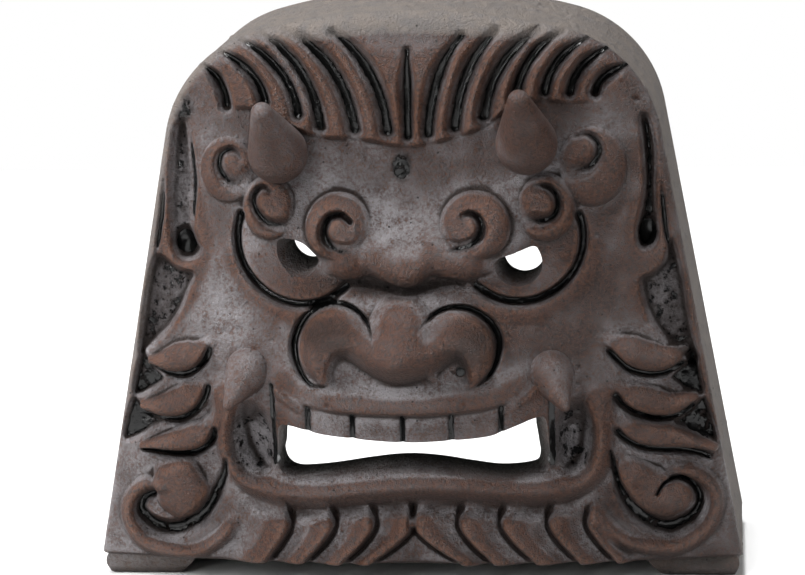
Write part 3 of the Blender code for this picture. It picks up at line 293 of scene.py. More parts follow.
# Spirals of the lower corners: the comma-like body and its half breadths, the trench, and the roll outside it
SPIRALS = (
    (((-98.0, 52.0), (-95.6, 44.0), (-93.2, 36.4)), (7.0, 9.6, 11.2), 6.4,
     ((-74.9, 50.0), (-75.7, 45.4), (-77.9, 39.5), (-82.1, 31.5), (-88.6, 24.2), (-97.0, 20.0), (-105.6, 21.4),
      (-110.8, 27.0), (-109.7, 32.0), (-104.8, 35.0)), (1.8, 3.6, 5.0, 5.6, 5.4, 4.0, 2.0),
     ((-96.0, 41.4), (-101.0, 39.4), (-108.6, 38.8), (-115.0, 31.8), (-115.7, 23.6), (-110.2, 15.2),
      (-99.4, 12.0), (-88.6, 12.2), (-77.6, 18.9), (-70.6, 29.0))),
    (((79.4, 54.5), (82.0, 49.0), (87.2, 42.0), (93.0, 37.0), (98.0, 34.8), (101.2, 35.0)),
     (1.2, 4.4, 7.6, 9.2, 9.0, 7.4), 5.6,
     ((76.4, 54.0), (77.9, 47.4), (80.3, 38.6), (84.9, 29.6), (92.4, 23.6), (100.4, 21.8), (108.2, 25.8),
      (111.2, 32.0), (109.0, 38.0), (103.6, 41.8), (97.6, 40.6), (94.6, 36.6)),
     (1.2, 2.2, 4.2, 5.2, 5.2, 4.0, 2.4, 1.6, 1.0),
     ((67.6, 37.5), (73.0, 26.4), (81.8, 17.7), (93.5, 14.4), (104.1, 14.6), (113.7, 21.1), (117.6, 30.2),
      (116.0, 38.2), (109.5, 43.6), (101.7, 45.2), (94.5, 43.0))),
)
TRENCH_DEPTH = 6.0
ROLL_RISE = 3.6

# Lobes of the chin: side, its outermost root line, then the top and the bottom of each lobe's edge
CHIN = (
    (-1, ((-66.5, 38), (-70.0, 26), (-75, 17), (-80, 8)),
     ((-50.5, -60.0), (-33.0, -45.0), (-17.0, -30.0), (-1.5, -19.0))),
    (1, ((69, 40), (72.5, 30), (79, 19), (88, 8)),
     ((68.0, 79.0), (53.0, 64.5), (34.5, 47.5), (18.0, 31.0), (-0.5, 19.0))),
)

# Glaze apart from the grooves, and drifts of ash, or of painted shade where negative: centre, half sizes, how
# much
STAINS = (
    (-3.2, 166.2, 4.2, 6.2, 0.70), (-90.0, 189.0, 6.0, 6.0, 0.62), (19.3, 88.3, 2.2, 2.2, 0.90),
)
ASH_DRIFTS_AND_PAINTED_SHADE = (
    (-7, 144, 18, 14, 0.60), (-36, 163, 10, 12, 0.30), (-75, 103, 14, 16, 0.40), (-21, 114, 11, 3, 0.90),
    (11, 115, 9, 3, 0.60), (-7, 77, 26, 5, 1.30), (-47, 77, 12, 6, 0.40), (41, 84, 10, 12, 0.35),
    (75, 183, 12, 10, 0.35), (-107, 36, 8, 12, 0.40), (-77, 16, 9, 7, 0.60), (-72, 46, 5, 16, 0.40),
    (-7, 39, 36, 3.5, 1.00), (-5, 60, 40, 5, 0.50), (-63, 57, 6, 12, 1.40), (62, 57, 6, 12, 1.40),
    (-91, 150, 6, 25, 0.40), (97, 115, 8, 20, 0.50), (108, 29, 6, 4, 1.20), (-63, 135, 6, 13, 0.60),
    # the entries with negative shares, on the next line, are painted shade on the nose wings and under the brow
    (-7, 69, 24, 3, 0.60), (-32, 103, 10, 6, -1.30), (24, 99, 11, 9, -0.90), (-7, 120, 28, 5, -1.10),
)

# Colours, as shares of the light that they return
CLAY_RED = (0.052, 0.0195, 0.0105)
CLAY_GREY = (0.038, 0.019, 0.0145)
# a warm, light clay tone: for warm grains, and as a painted highlight on sharp crests
CLAY_WARM_AND_HIGHLIGHT = (0.125, 0.055, 0.030)
# a dark clay tone: the clay's dark grain and specks, and also painted shade
CLAY_DARK_AND_SHADE = (0.012, 0.008, 0.007)
# silvery ash, which also stands for a painted sheen of reflected light
ASH_AND_SHEEN = (0.200, 0.188, 0.195)
POOL = (0.004, 0.004, 0.004)
SAND = (0.165, 0.142, 0.126)
SAND_GREY = (0.130, 0.120, 0.116)
# the cut walls' dark tone, partly their own colour and partly painted shade in the holes
CUT_DARK_AND_SHADE = (0.012, 0.012, 0.010)
CUT_OLIVE = (0.050, 0.047, 0.038)
PAPER = (0.9, 0.9, 0.9)
WHITE = (1.0, 1.0, 1.0)
CLAY_SPECULAR = 0.27
BUMP_UNIT = 0.001

# Studio: the floor's half width and its front and back edges, the room's dim light, and the soft boxes,
# each with its place, what it points at, its size and its power
FLOOR = (3.0, -2.0, 1.0)
ROOM_LIGHT = 0.04
MIDDLE = (0.0, FRONT, 0.11)
SOFT_BOXES = {
    "top_box": ((-0.3, -0.1, 3.0), (0.0, 0.2, 0.0), (1.0, 0.8), 116),
    "left_box": ((-1.35, -0.40, 0.90), MIDDLE, (0.30, 0.8), 27),
    "front_box": ((-0.55, -0.75, 1.6), MIDDLE, (0.6, 0.3), 8),
    "strip_box": ((-0.85, -1.35, 0.75), MIDDLE, (0.06, 1.0), 10),
    "right_box": ((1.4, -0.3, 0.8), MIDDLE, (0.25, 0.8), 7),
}

# Camera: it looks down a little, from a step to the right
CAMERA_TURN = np.radians(5.5)
CAMERA_TILT = np.radians(11.0)
CAMERA_ROLL = np.radians(1.2)
CAMERA_DISTANCE = 1.4
CAMERA_AIM = Vector((-0.00872, FRONT + BODY_DEPTH / 2, 0.10876))
CAMERA_LENS = 154.9


def arc_centres():
    """Centres of the crown's arc and of the right shoulder's, and the side line's outward direction."""
    normal = np.array([1.0, SIDE_LEAN]) / np.hypot(1.0, SIDE_LEAN)
    corner = np.array([BASE_WIDTH / 2, FOOT_HEIGHT])
    crown = np.array([0.0, FOOT_HEIGHT + BODY_HEIGHT - CROWN_RADIUS])
    foot = crown + normal * (normal @ (corner - crown) - SHOULDER_RADIUS)
    offset = foot - crown
    climb = np.sqrt((CROWN_RADIUS - SHOULDER_RADIUS) ** 2 - offset @ offset)
    return crown, foot + climb * np.array([-normal[1], normal[0]]), normal


def edge_distance(x, z):
    """How far inside the outline a point lies, from its side line, shoulder arc or crown arc."""
    crown, shoulder, normal = arc_centres()
    across = np.abs(x)
    side = normal @ np.array([BASE_WIDTH / 2, FOOT_HEIGHT]) - (across * normal[0] + z * normal[1])
    corner = SHOULDER_RADIUS - np.hypot(across - shoulder[0], z - shoulder[1])
    top = CROWN_RADIUS - np.hypot(across - crown[0], z - crown[1])
    above = (z - shoulder[1]) * normal[0] > (across - shoulder[0]) * normal[1]
    spoke = shoulder - crown
    beyond = (across - crown[0]) * spoke[1] > (z - crown[1]) * spoke[0]
    return np.where(above, np.where(beyond, corner, top), np.minimum(side, top))


def right_edge(inset, floor, steps):
    """The right half of the outline pulled in by inset, from the floor to the middle of the crown."""
    crown, shoulder, normal = arc_centres()
    spoke = shoulder - crown
    lean = np.arctan2(normal[1], normal[0])
    turn = np.arctan2(spoke[1], spoke[0])
    corner = np.array([BASE_WIDTH / 2, FOOT_HEIGHT]) - inset * normal
    points = [np.array([corner[0] - SIDE_LEAN * (floor - corner[1]), floor])]
    for angle in np.linspace(lean, turn, steps):
        points.append(shoulder + (SHOULDER_RADIUS - inset) * np.array([np.cos(angle), np.sin(angle)]))
    for angle in np.linspace(turn, np.pi / 2, steps)[1:]:
        points.append(crown + (CROWN_RADIUS - inset) * np.array([np.cos(angle), np.sin(angle)]))
    return np.array(points)


def outline(inset, floor, steps=24):
    """The whole outline pulled in by inset, counter-clockwise seen from the front."""
    right = right_edge(inset, floor, steps)
    left = right[-2::-1] * (-1, 1)
    return np.vstack([right, left])


def evenly(points, count):
    """The same line as count points at equal distances."""
    steps = np.concatenate([[0], np.cumsum(np.hypot(*np.diff(points, axis=0).T))])
    at = np.linspace(0, steps[-1], count)
    return np.stack([np.interp(at, steps, points[:, 0]), np.interp(at, steps, points[:, 1])], -1)


def smooth_step(value, low, high):
    share = np.clip((value - low) / (high - low), 0.0, 1.0)
    return share * share * (3.0 - 2.0 * share)


def soft_max(a, b, soft):
    share = np.clip(0.5 + 0.5 * (a - b) / soft, 0.0, 1.0)
    return a * share + b * (1.0 - share) + 0.5 * soft * share * (1.0 - share)


def taper(along, start, end):
    """Grows from nothing over the share start of a path and fades over the share end."""
    return smooth_step(along, 0.0, start) * (1.0 - smooth_step(along, 1.0 - end, 1.0))


def curve(points, steps=6, closed=False):
    """A smooth line through the points."""
    p = np.asarray(points, float)
    if closed:
        p = np.vstack([p[-1], p, p[:2]])
    else:
        p = np.vstack([2 * p[0] - p[1], p, 2 * p[-1] - p[-2]])
    t = np.linspace(0, 1, steps, endpoint=False)[:, None]
    parts = []
    for a, b, c, d in zip(p, p[1:], p[2:], p[3:]):
        square = (2 * a - 5 * b + 4 * c - d) * t**2
        cube = (3 * b - a - 3 * c + d) * t**3
        parts.append(0.5 * (2 * b + (c - a) * t + square + cube))
    if not closed:
        parts.append(p[-2][None])
    return np.vstack(parts)


def arc(centre, radii, start, end, steps=20):
    """An arc or a spiral from start to end, in degrees counter-clockwise from the right."""
    angle = np.radians(np.linspace(start, end, steps))
    radius = np.linspace(radii[0], radii[1], steps)
    return np.stack([centre[0] + radius * np.cos(angle), centre[1] + radius * np.sin(angle)], -1)


def blur(field, sigma):
    """A Gaussian blur, in cells, with mirrored borders."""
    pad = int(np.ceil(3 * sigma))
    wide = np.pad(field, pad, "reflect")
    rows = np.fft.fftfreq(wide.shape[0])[:, None]
    columns = np.fft.rfftfreq(wide.shape[1])[None]
    keep = np.exp(-2 * (np.pi * sigma) ** 2 * (rows**2 + columns**2))
    return np.fft.irfft2(np.fft.rfft2(wide) * keep, wide.shape)[pad:-pad, pad:-pad]


class Sheet:
    """The drawing as a height over a square grid."""

    def __init__(self, spacing):
        half = DRAWN_BASE / 2 + MARGIN
        top = DRAWN_UNDERSIDE + DRAWN_HEIGHT + MARGIN
        low = DRAWN_UNDERSIDE - MARGIN
        self.xs = np.linspace(-half, half, 2 * int(half / spacing) + 2)
        self.zs = np.linspace(low, top, int(round((top - low) / spacing)) + 1)
        self.x, self.z = np.meshgrid(self.xs, self.zs)
        self.height = np.zeros_like(self.x)
        self.pool = np.zeros_like(self.x)

    def window(self, points, reach):
        """The rows and columns within reach of the points."""
        low = np.min(points, axis=0) - reach
        high = np.max(points, axis=0) + reach
        rows = slice(np.searchsorted(self.zs, low[1]), np.searchsorted(self.zs, high[1]))
        columns = slice(np.searchsorted(self.xs, low[0]), np.searchsorted(self.xs, high[0]))
        return rows, columns

    def measure(self, path, area):
        """The share along the path that each point is nearest to, and its distance."""
        x, z = self.x[area], self.z[area]
        nearest = np.full(x.shape, np.inf)
        along = np.zeros(x.shape)
        steps = np.hypot(*np.diff(path, axis=0).T)
        done = np.concatenate([[0], np.cumsum(steps)]) / steps.sum()
        for i, (a, b) in enumerate(zip(path, path[1:])):
            run = b - a
            share = np.clip(((x - a[0]) * run[0] + (z - a[1]) * run[1]) / (run @ run), 0, 1)
            away = np.hypot(x - a[0] - share * run[0], z - a[1] - share * run[1])
            nearer = away < nearest
            nearest = np.where(nearer, away, nearest)
            along = np.where(nearer, done[i] + share * (done[i + 1] - done[i]), along)
        return along, nearest

    def inside(self, border, area):
        """Distance to a closed border, positive inside it."""
        closed = np.vstack([border, border[:1]])
        away = self.measure(closed, area)[1]
        x, z = self.x[area], self.z[area]
        within = np.zeros(x.shape, bool)
        for a, b in zip(closed, closed[1:]):
            if a[1] != b[1]:
                crosses = (a[1] > z) != (b[1] > z)
                within ^= crosses & (x < a[0] + (z - a[1]) / (b[1] - a[1]) * (b[0] - a[0]))
        return np.where(within, away, -away)

    def read(self, field, x, z):
        """The field's values at points of the drawing."""
        column = np.clip((x - self.xs[0]) / (self.xs[1] - self.xs[0]), 0, len(self.xs) - 1.001)
        row = np.clip((z - self.zs[0]) / (self.zs[1] - self.zs[0]), 0, len(self.zs) - 1.001)
        c, r = column.astype(int), row.astype(int)
        u, v = column - c, row - r
        low = field[r, c] * (1 - u) + field[r, c + 1] * u
        high = field[r + 1, c] * (1 - u) + field[r + 1, c + 1] * u
        return low * (1 - v) + high * v


def spread(along, values):
    """The values laid out evenly over the length of a path."""
    return np.interp(along, np.linspace(0, 1, len(values)), values)


def together(a, b, power=5):
    """A smooth union of two rises, which is nothing where both are nothing."""
    return (a**power + b**power) ** (1.0 / power)


def groove(sheet, path, breadth, depth, start=0.25, end=0.25, floor=0.25, glaze=1.0):
    """A trough along a path; breadth is half its width, and floor the share of it that is flat."""
    area = sheet.window(path, breadth)
    along, away = sheet.measure(path, area)
    worn = taper(along, start, end)
    sheet.height[area] -= depth * worn * (1.0 - smooth_step(away / breadth, floor, 1.0))
    wet = glaze * smooth_step(worn, 0.1, 0.5) * (1.0 - smooth_step(away / breadth, 0.20, 0.65))
    sheet.pool[area] = np.maximum(sheet.pool[area], wet)


def furrow(sheet, path, breadths, depths, glaze=1.0):
    """A trough whose half breadth and depth change along its path."""
    area = sheet.window(path, max(breadths))
    along, away = sheet.measure(path, area)
    share = away / spread(along, breadths)
    depth = spread(along, depths)
    sheet.height[area] -= depth * (1.0 - smooth_step(share, 0.1, 1.0))
    wet = glaze * smooth_step(depth, 0.5, 2.0) * (1.0 - smooth_step(share, 0.20, 0.65))
    sheet.pool[area] = np.maximum(sheet.pool[area], wet)


def roll(sheet, path, breadth, rise, start=0.25, end=0.25):
    """A rounded ridge along a path."""
    area = sheet.window(path, breadth)
    along, away = sheet.measure(path, area)
    share = np.clip(away / breadth, 0, 1)
    sheet.height[area] += rise * taper(along, start, end) * (1 - share**2) ** 1.4


def horned(sheet, spine, breadths, rise):
    """A fleshy form that grows out of the ground along its spine, with a round end."""
    area = sheet.window(spine, max(breadths))
    along, away = sheet.measure(spine, area)
    share = np.clip(away / spread(along, breadths), 0, 1)
    sheet.height[area] += rise * smooth_step(along, 0.0, 0.45) * (1 - share**2) ** 0.5


def leaf(sheet, edge, root, rise, drop, gap, glaze=1.0):
    """A leaf that swells from its root line to its edge, and drops there into a groove."""
    border = np.vstack([edge, root[::-1]])
    area = sheet.window(border, gap)
    within = smooth_step(sheet.inside(border, area), -0.8, 0.9)
    to_edge = sheet.measure(edge, area)[1]
    to_root = sheet.measure(root, area)[1]
    share = to_root / (to_root + to_edge + 1e-6)
    swell = smooth_step(share, 0.05, 0.85) * (1 - 0.25 * smooth_step(share, 0.88, 1.0))
    below = 1 - smooth_step(sheet.z[area], 24, 36)
    sheet.height[area] += rise * within * swell * below * smooth_step(to_root + to_edge, 0.0, 6.0)
    groove(sheet, edge, gap, drop, 0.3, 0.15, 0.1, glaze)


def dome(sheet, centre, radii, rise, power):
    """A round boss added on what is there."""
    area = sheet.window([np.subtract(centre, radii), np.add(centre, radii)], 0)
    away = np.hypot((sheet.x[area] - centre[0]) / radii[0], (sheet.z[area] - centre[1]) / radii[1])
    sheet.height[area] += rise * np.clip(1 - away**2, 0, None) ** power


def swelling(sheet, centre, reach, rise):
    """A soft rise, or with a negative rise a soft hollow, without an edge."""
    away = ((sheet.x - centre[0]) / reach[0]) ** 2 + ((sheet.z - centre[1]) / reach[1]) ** 2
    sheet.height += rise * np.exp(-away)


def hollow(sheet, border, depth, slope, glaze=0.8):
    """A sunk field inside a closed outline, with sides as wide as slope."""
    area = sheet.window(border, slope)
    within = sheet.inside(border, area)
    sheet.height[area] -= depth * smooth_step(within, -0.5 * slope, slope)
    sheet.pool[area] = np.maximum(sheet.pool[area], glaze * smooth_step(within, 0.0, slope))


def shell_form(sheet):
    """The large forms that the inside of the shell follows too: the front's bulge and the muzzle's."""
    half = DRAWN_BASE / 2 - SIDE_LEAN * (sheet.z - DRAWN_UNDERSIDE)
    across = np.clip(1.0 - (sheet.x / half) ** 2, 0, None)
    sheet.height = BULGE * across * (1.0 - BULGE_LOST_AT_CROWN * smooth_step(sheet.z, 110, 224))
    upward = np.where(sheet.z > 84, (sheet.z - 84) / 48, (sheet.z - 84) / 60)
    fall = ((sheet.x + 2) / 80) ** 2 + upward**2
    sheet.height = soft_max(sheet.height, MUZZLE - MUZZLE_FALL * fall, 8.0)


def carve_hair(sheet):
    swelling(sheet, (0, 164), (44, 16), -3.0)
    line = curve(HAIRLINE)
    above = smooth_step(sheet.z - np.interp(sheet.x, line[:, 0], line[:, 1]), -1.5, 1.5)
    fade = (1 - smooth_step(sheet.z, 204, 222)) * (1 - smooth_step(np.abs(sheet.x), 58, 76))
    sheet.height += HAIR_RISE * above * fade
    t = np.linspace(0, 1, 14)[:, None]
    for top_x, top_z, end_x, end_z, breadth in HAIR:
        bend = np.array([end_x + 0.12 * (top_x - end_x), top_z - 0.35 * (top_z - end_z)])
        path = (1 - t) ** 2 * (top_x, top_z) + 2 * t * (1 - t) * bend + t**2 * (end_x, end_z)
        area = sheet.window(path, breadth * 1.3)
        along, away = sheet.measure(path, area)
        grown = smooth_step(along, 0, 0.45)
        reach = breadth * (0.80 + 0.62 * grown)
        depth = HAIR_DEPTH_TOP + (HAIR_DEPTH_END - HAIR_DEPTH_TOP) * grown
        sheet.height[area] -= depth * (1 - smooth_step(away / reach, 0.05, 1.0))
        wet = 1 - smooth_step(away / reach, 0.10, 0.54)
        sheet.pool[area] = np.maximum(sheet.pool[area], wet)


def carve_eyes(sheet):
    for side, (x, z, radius) in zip((-1, 1), EYEBALLS):
        dome(sheet, (x, z), (radius, radius), EYE_RISE, 0.7)
        ring = arc((x, z), (radius + 1.4, radius + 1.4), 90 - side * 62, 90 - side * 235, 30)
        groove(sheet, ring, 2.5, 4.6, 0.06, 0.12, 0.3)
        lid = arc((x, z), (radius + 5.6, radius + 5.6), 90 - side * 75, 90 - side * 228, 30)
        roll(sheet, lid, 4.4, 1.0, 0.3, 0.3)


def carve_nose(sheet):
    bridge = curve([(-2, 119), (-2.5, 111), (-3, 100)])
    area = sheet.window(bridge, 20)
    along, away = sheet.measure(bridge, area)
    sheet.height[area] += (0.5 + 2.0 * along) * (1 - smooth_step(away, 1, 19))
    lift = np.zeros_like(sheet.height)
    for x, z, radius in WINGS:
        away = np.hypot(sheet.x - x, sheet.z - z) / radius
        lift = np.maximum(lift, WING_RISE * np.clip(1 - away**2, 0, None) ** 0.5)
    for x, z, wide, high in NOSTRILS:
        lift *= smooth_step(np.hypot((sheet.x - x) / wide, (sheet.z - z) / high), 0.7, 1.3)
    crest = curve(NOSE_CREST)
    area = sheet.window(crest, max(CREST_BREADTHS))
    along, away = sheet.measure(crest, area)
    share = np.clip(away / spread(along, CREST_BREADTHS), 0, 1)
    lift[area] = together(lift[area], spread(along, CREST_RISES) * (1 - share**2) ** 1.0)
    x, z, wide, low, high = NOSE_TIP
    away = np.hypot((sheet.x - x) / wide, (sheet.z - z) / np.where(sheet.z < z, low, high))
    sheet.height += together(lift, NOSE_TIP_RISE * np.clip(1 - away**2, 0, None) ** 0.8)
    for border in WING_BORDERS:
        furrow(sheet, curve(border), BORDER_BREADTHS, BORDER_DEPTHS)


def carve_mouth(sheet):
    lip = curve(LIP)
    area = sheet.window(lip, 8)
    along, away = sheet.measure(lip, area)
    sheet.height[area] += LIP_RISE * np.clip(1 - (away / 8) ** 2, 0, None) ** 1.2 * taper(along, 0.12, 0.12)
    below = np.interp(sheet.x, lip[:, 0], lip[:, 1]) - LIP_DROP - sheet.z
    sides = smooth_step(sheet.x, -64, -58) * (1 - smooth_step(sheet.x, 56, 62))
    sunk = smooth_step(below, -1.2, 1.4) * smooth_step(sheet.z, 38, 43) * sides
    sheet.height += np.minimum(TOOTH_PLANE - sheet.height, 0) * sunk
    for a, b in zip(TOOTH_NOTCHES, TOOTH_NOTCHES[1:]):
        across = (2 * sheet.x - a - b) / (b - a)
        tooth = TOOTH_RISE * np.clip(1 - np.abs(across) ** 6, 0, None) * np.clip(1 - 0.03 * below, 0, 1)
        sheet.height += tooth * sunk * smooth_step(sheet.z, 50, 56)
    for notch in TOOTH_NOTCHES:
        wet = (1 - smooth_step(np.abs(sheet.x - notch), 0.6, 1.7)) * sunk * smooth_step(sheet.z, 46, 50)
        sheet.pool = np.maximum(sheet.pool, wet)
    for x, z, wide, high, depth in PITS:
        away = np.hypot((sheet.x - x) / wide, (sheet.z - z) / high)
        sheet.height -= depth * np.clip(1 - away**2, 0, None) ** 1.3
        sheet.pool = np.maximum(sheet.pool, 0.56 * (1 - smooth_step(away, 0.6, 1.05)))
    roll(sheet, curve(FRAME), 7.0, FRAME_RISE, 0.05, 0.05)
    groove(sheet, curve(UNDER_LIP), 4.0, 2.4, 0.15, 0.15, 0.1, 0.1)


def carve_brow(sheet):
    lift = np.zeros_like(sheet.height)
    for centre, radii, rise, ball, ball_radius, trough in SCROLLS:
        area = sheet.window([np.subtract(centre, radii), np.add(centre, radii)], 4)
        x, z = sheet.x[area], sheet.z[area]
        away = np.hypot((x - centre[0]) / radii[0], (z - centre[1]) / radii[1])
        body = rise * (1 - np.clip((away - 0.5) / 0.5, 0, 1) ** 2) ** 0.55
        along, off = sheet.measure(curve(trough), area)
        share = off / spread(along, TROUGH_BREADTHS)
        cut = spread(along, TROUGH_DEPTHS) * (1 - smooth_step(share, 0.0, 1.0))
        away = np.hypot(x - ball[0], z - ball[1]) / ball_radius
        round_end = rise * np.clip(1 - away**2, 0, None) ** 0.5
        lift[area] = np.maximum(lift[area], np.maximum(body - rise * cut, round_end))
        wet = smooth_step(cut, 0.62, 1.0) * (away > 0.97)
        sheet.pool[area] = np.maximum(sheet.pool[area], wet)
    crest = curve(BROW_BAND)
    above = sheet.z - np.interp(sheet.x, crest[:, 0], crest[:, 1])
    under = np.clip(1 - (above / BROW_UNDER) ** 2, 0, None) ** 0.6
    over = np.exp(-((above / BROW_OVER) ** 2))
    sides = 1 - smooth_step(np.abs(sheet.x + 0.5), 24, 36)
    sheet.height += together(lift, BROW_RISE * np.where(above < 0, under, over) * sides)
    groove(sheet, curve(BROW_CREASE), 3.0, 2.6, floor=0.1, glaze=0.5)


def carve_sides(sheet):
    for spine, breadths, edge in TUFTS:
        horned(sheet, curve(spine), breadths, TUFT_RISE)
        groove(sheet, curve(edge), 2.4, 3.8, 0.15, 0.15, 0.15)
    for border, depth, slope, wet in SUNK:
        hollow(sheet, curve(border, 4, True), depth, slope, wet)
    for border in TUFT_GAPS:
        for side in (1, -1):
            hollow(sheet, curve(np.multiply(border, (side, 1)), 4, True), *TUFT_GAP)
    for x, z, wide, high, depth in SUNK_ENDS:
        away = np.hypot((sheet.x - x) / wide, (sheet.z - z) / high)
        sheet.height -= depth * np.clip(1 - away**2, 0, None)
        sheet.pool = np.maximum(sheet.pool, 1 - smooth_step(away, 0.5, 0.9))
    for valley in VALLEYS:
        furrow(sheet, curve(valley), (0.8, 1.8, 2.0, 1.8, 0.8), (0.4, 2.0, 2.2, 2.0, 0.6))
    for spine, breadths, rise, trench, trench_breadths, outer in SPIRALS:
        swelling(sheet, (spine[0][0], spine[0][1] - 4), (12, 12), 2.0)
        deep = TRENCH_DEPTH * np.interp(np.arange(9), (0, 2, 4, 6, 8), (0.25, 0.9, 1.0, 0.9, 0.4))
        furrow(sheet, curve(trench), trench_breadths, deep, 0.8)
        roll(sheet, curve(outer), 3.8, ROLL_RISE, 0.12, 0.12)
        horned(sheet, curve(spine), breadths, rise)


def carve_chin(sheet):
    notch = np.exp(-(((sheet.x + 1.2) / 11) ** 2)) * (1 - smooth_step(sheet.z, 14, 30))
    sheet.height -= 1.5 * notch
    for side, outer, lobes in CHIN:
        root = curve(outer)
        for top, bottom in lobes:
            edge = curve([(top + 2 * side, 37), (top, 31), (top - side, 24),
                          (top + 0.3 * (bottom - top), 16.5), (bottom, 8)])
            leaf(sheet, edge, root, 5.0, 2.6, 2.2, 0.0)
            root = edge


def round_edges(sheet):
    """The clay's rounded edge along the outline and along the base line."""
    inside = edge_distance(sheet.x * UNIT, real_height(sheet.z)) / UNIT
    radius = (CORNER_ROUND + (CROWN_ROUND - CORNER_ROUND) * smooth_step(sheet.z, 190, 215)) / UNIT
    short = radius - np.clip(inside, 0, radius)
    sheet.height -= radius - np.sqrt(np.clip(radius**2 - short**2, 0, None)) + 0.3 * np.clip(-inside, 0, None)
    base = BASE_ROUND / UNIT
    short = base - np.clip(sheet.z - DRAWN_UNDERSIDE, 0, base)
    sheet.height -= base - np.sqrt(base**2 - short**2)


def real_height(z):
    return FOOT_HEIGHT + (z - DRAWN_UNDERSIDE) * RISE_UNIT


def uneven(shape, cell, seed):
    """Smooth seeded noise about zero over a grid, with a grain of so many cells."""
    rough = np.random.default_rng(seed).standard_normal(shape)
    smooth = blur(rough, cell)
    return smooth / smooth.std()


def weather(sheet):
    """Hand-worked unevenness of the fired clay, lumps in thin glaze, and pits."""
    cells = 1.0 / (sheet.xs[1] - sheet.xs[0])
    for rise, grain, seed in WORKED:
        sheet.height += rise * uneven(sheet.x.shape, grain * cells, seed)
    rise, grain, seed = LUMPS
    lumps = uneven(sheet.x.shape, grain * cells, seed)
    sheet.height += rise * sheet.pool * lumps * (sheet.pool < THICK_GLAZE)
    chance = np.random.default_rng(PIT_SEED)
    for _ in range(PIT_COUNT):
        centre = chance.uniform(*PIT_SPAN)
        radius = chance.uniform(*PIT_RADII)
        area = sheet.window(centre[None], radius * 2)
        away = np.hypot(sheet.x[area] - centre[0], sheet.z[area] - centre[1]) / radius
        sheet.height[area] -= radius * PIT_DEPTH * np.exp(-(away**2))


def stain(sheet):
    """Where glaze lies apart from the grooves, and where ash drifted, as the firing left them; a negative drift
    is painted shade.
    """
    for x, z, wide, high, wet in STAINS:
        away = np.hypot((sheet.x - x) / wide, (sheet.z - z) / high)
        sheet.pool = np.maximum(sheet.pool, wet * (1 - smooth_step(away, 0.7, 1.15)))
    sheet.ash = np.zeros_like(sheet.x)
    for x, z, wide, high, share in ASH_DRIFTS_AND_PAINTED_SHADE:
        away = ((sheet.x - x) / wide) ** 2 + ((sheet.z - z) / high) ** 2
        sheet.ash += share * np.exp(-away)


def carved_face(spacing):
    sheet = Sheet(spacing)
    shell_form(sheet)
    carve_hair(sheet)
    carve_eyes(sheet)
    carve_nose(sheet)
    carve_mouth(sheet)
    carve_brow(sheet)
    carve_sides(sheet)
    carve_chin(sheet)
    cells = 1.0 / (sheet.xs[1] - sheet.xs[0])
    sheet.dip = blur(sheet.height, DIP_REACH * cells) - sheet.height
    sheet.sunken = blur(sheet.height, SUNKEN_REACH * cells) - sheet.height
    stain(sheet)
    weather(sheet)
    round_edges(sheet)
    return sheet


def place(x, z, out):
    """A point of the drawing in the row frame."""
    return np.stack(np.broadcast_arrays(x * UNIT, FRONT - out * UNIT, real_height(z)), -1)


def face_points():
    """A grid over the whole front whose borders lie on the outline."""
    right = right_edge(0.0, FOOT_HEIGHT, 40)
    up_right = evenly(right[:21], FACE_ROWS + 1)
    over = right[20:]
    top = evenly(np.vstack([over * (-1, 1), over[-2::-1]]), FACE_COLUMNS + 1)
    up_left = up_right * (-1, 1)
    bottom = np.linspace(up_left[0], up_right[0], FACE_COLUMNS + 1)
    s = np.linspace(0, 1, FACE_COLUMNS + 1)[None, :, None]
    t = np.linspace(0, 1, FACE_ROWS + 1)[:, None, None]
    sides = (1 - s) * up_left[:, None] + s * up_right[:, None]
    ends = (1 - t) * bottom[None] + t * top[None]
    corners = (1 - s) * ((1 - t) * bottom[0] + t * top[0]) + s * ((1 - t) * bottom[-1] + t * top[-1])
    return sides + ends - corners


def grid_quads(index):
    return np.stack([index[:-1, :-1], index[:-1, 1:], index[1:, 1:], index[1:, :-1]], -1).reshape(-1, 4)


def wall_relief(count):
    """How far the outer walls stand in or out: worked clay with grains on it."""
    across = 2 * (BODY_HEIGHT + BASE_WIDTH) / count
    down = BODY_DEPTH / WALL_ROWS
    rise, grain, seed = WALL_WORKED
    field = rise * uneven((WALL_ROWS, count), grain, seed) - WALL_SET_IN
    chance = np.random.default_rng(GRAIN_SEED)
    rows = np.arange(WALL_ROWS)[:, None] * down
    columns = np.arange(count)[None] * across
    for _ in range(GRAIN_COUNT):
        radius = chance.uniform(*GRAIN_RADII)
        u, v = chance.uniform(0, count * across), chance.uniform(0, BODY_DEPTH)
        near = slice(max(0, int(u / across) - GRAIN_REACH), int(u / across) + GRAIN_REACH)
        away = ((rows - v) / radius) ** 2 + ((columns[:, near] - u) / radius) ** 2
        field[:, near] += GRAIN_RISE * radius * np.exp(-away)
    edges = np.minimum(np.arange(WALL_ROWS) + 1, WALL_ROWS - np.arange(WALL_ROWS) - 1)[:, None]
    return np.minimum(field * np.clip(edges / 2, 0, 1), WALL_MOST)


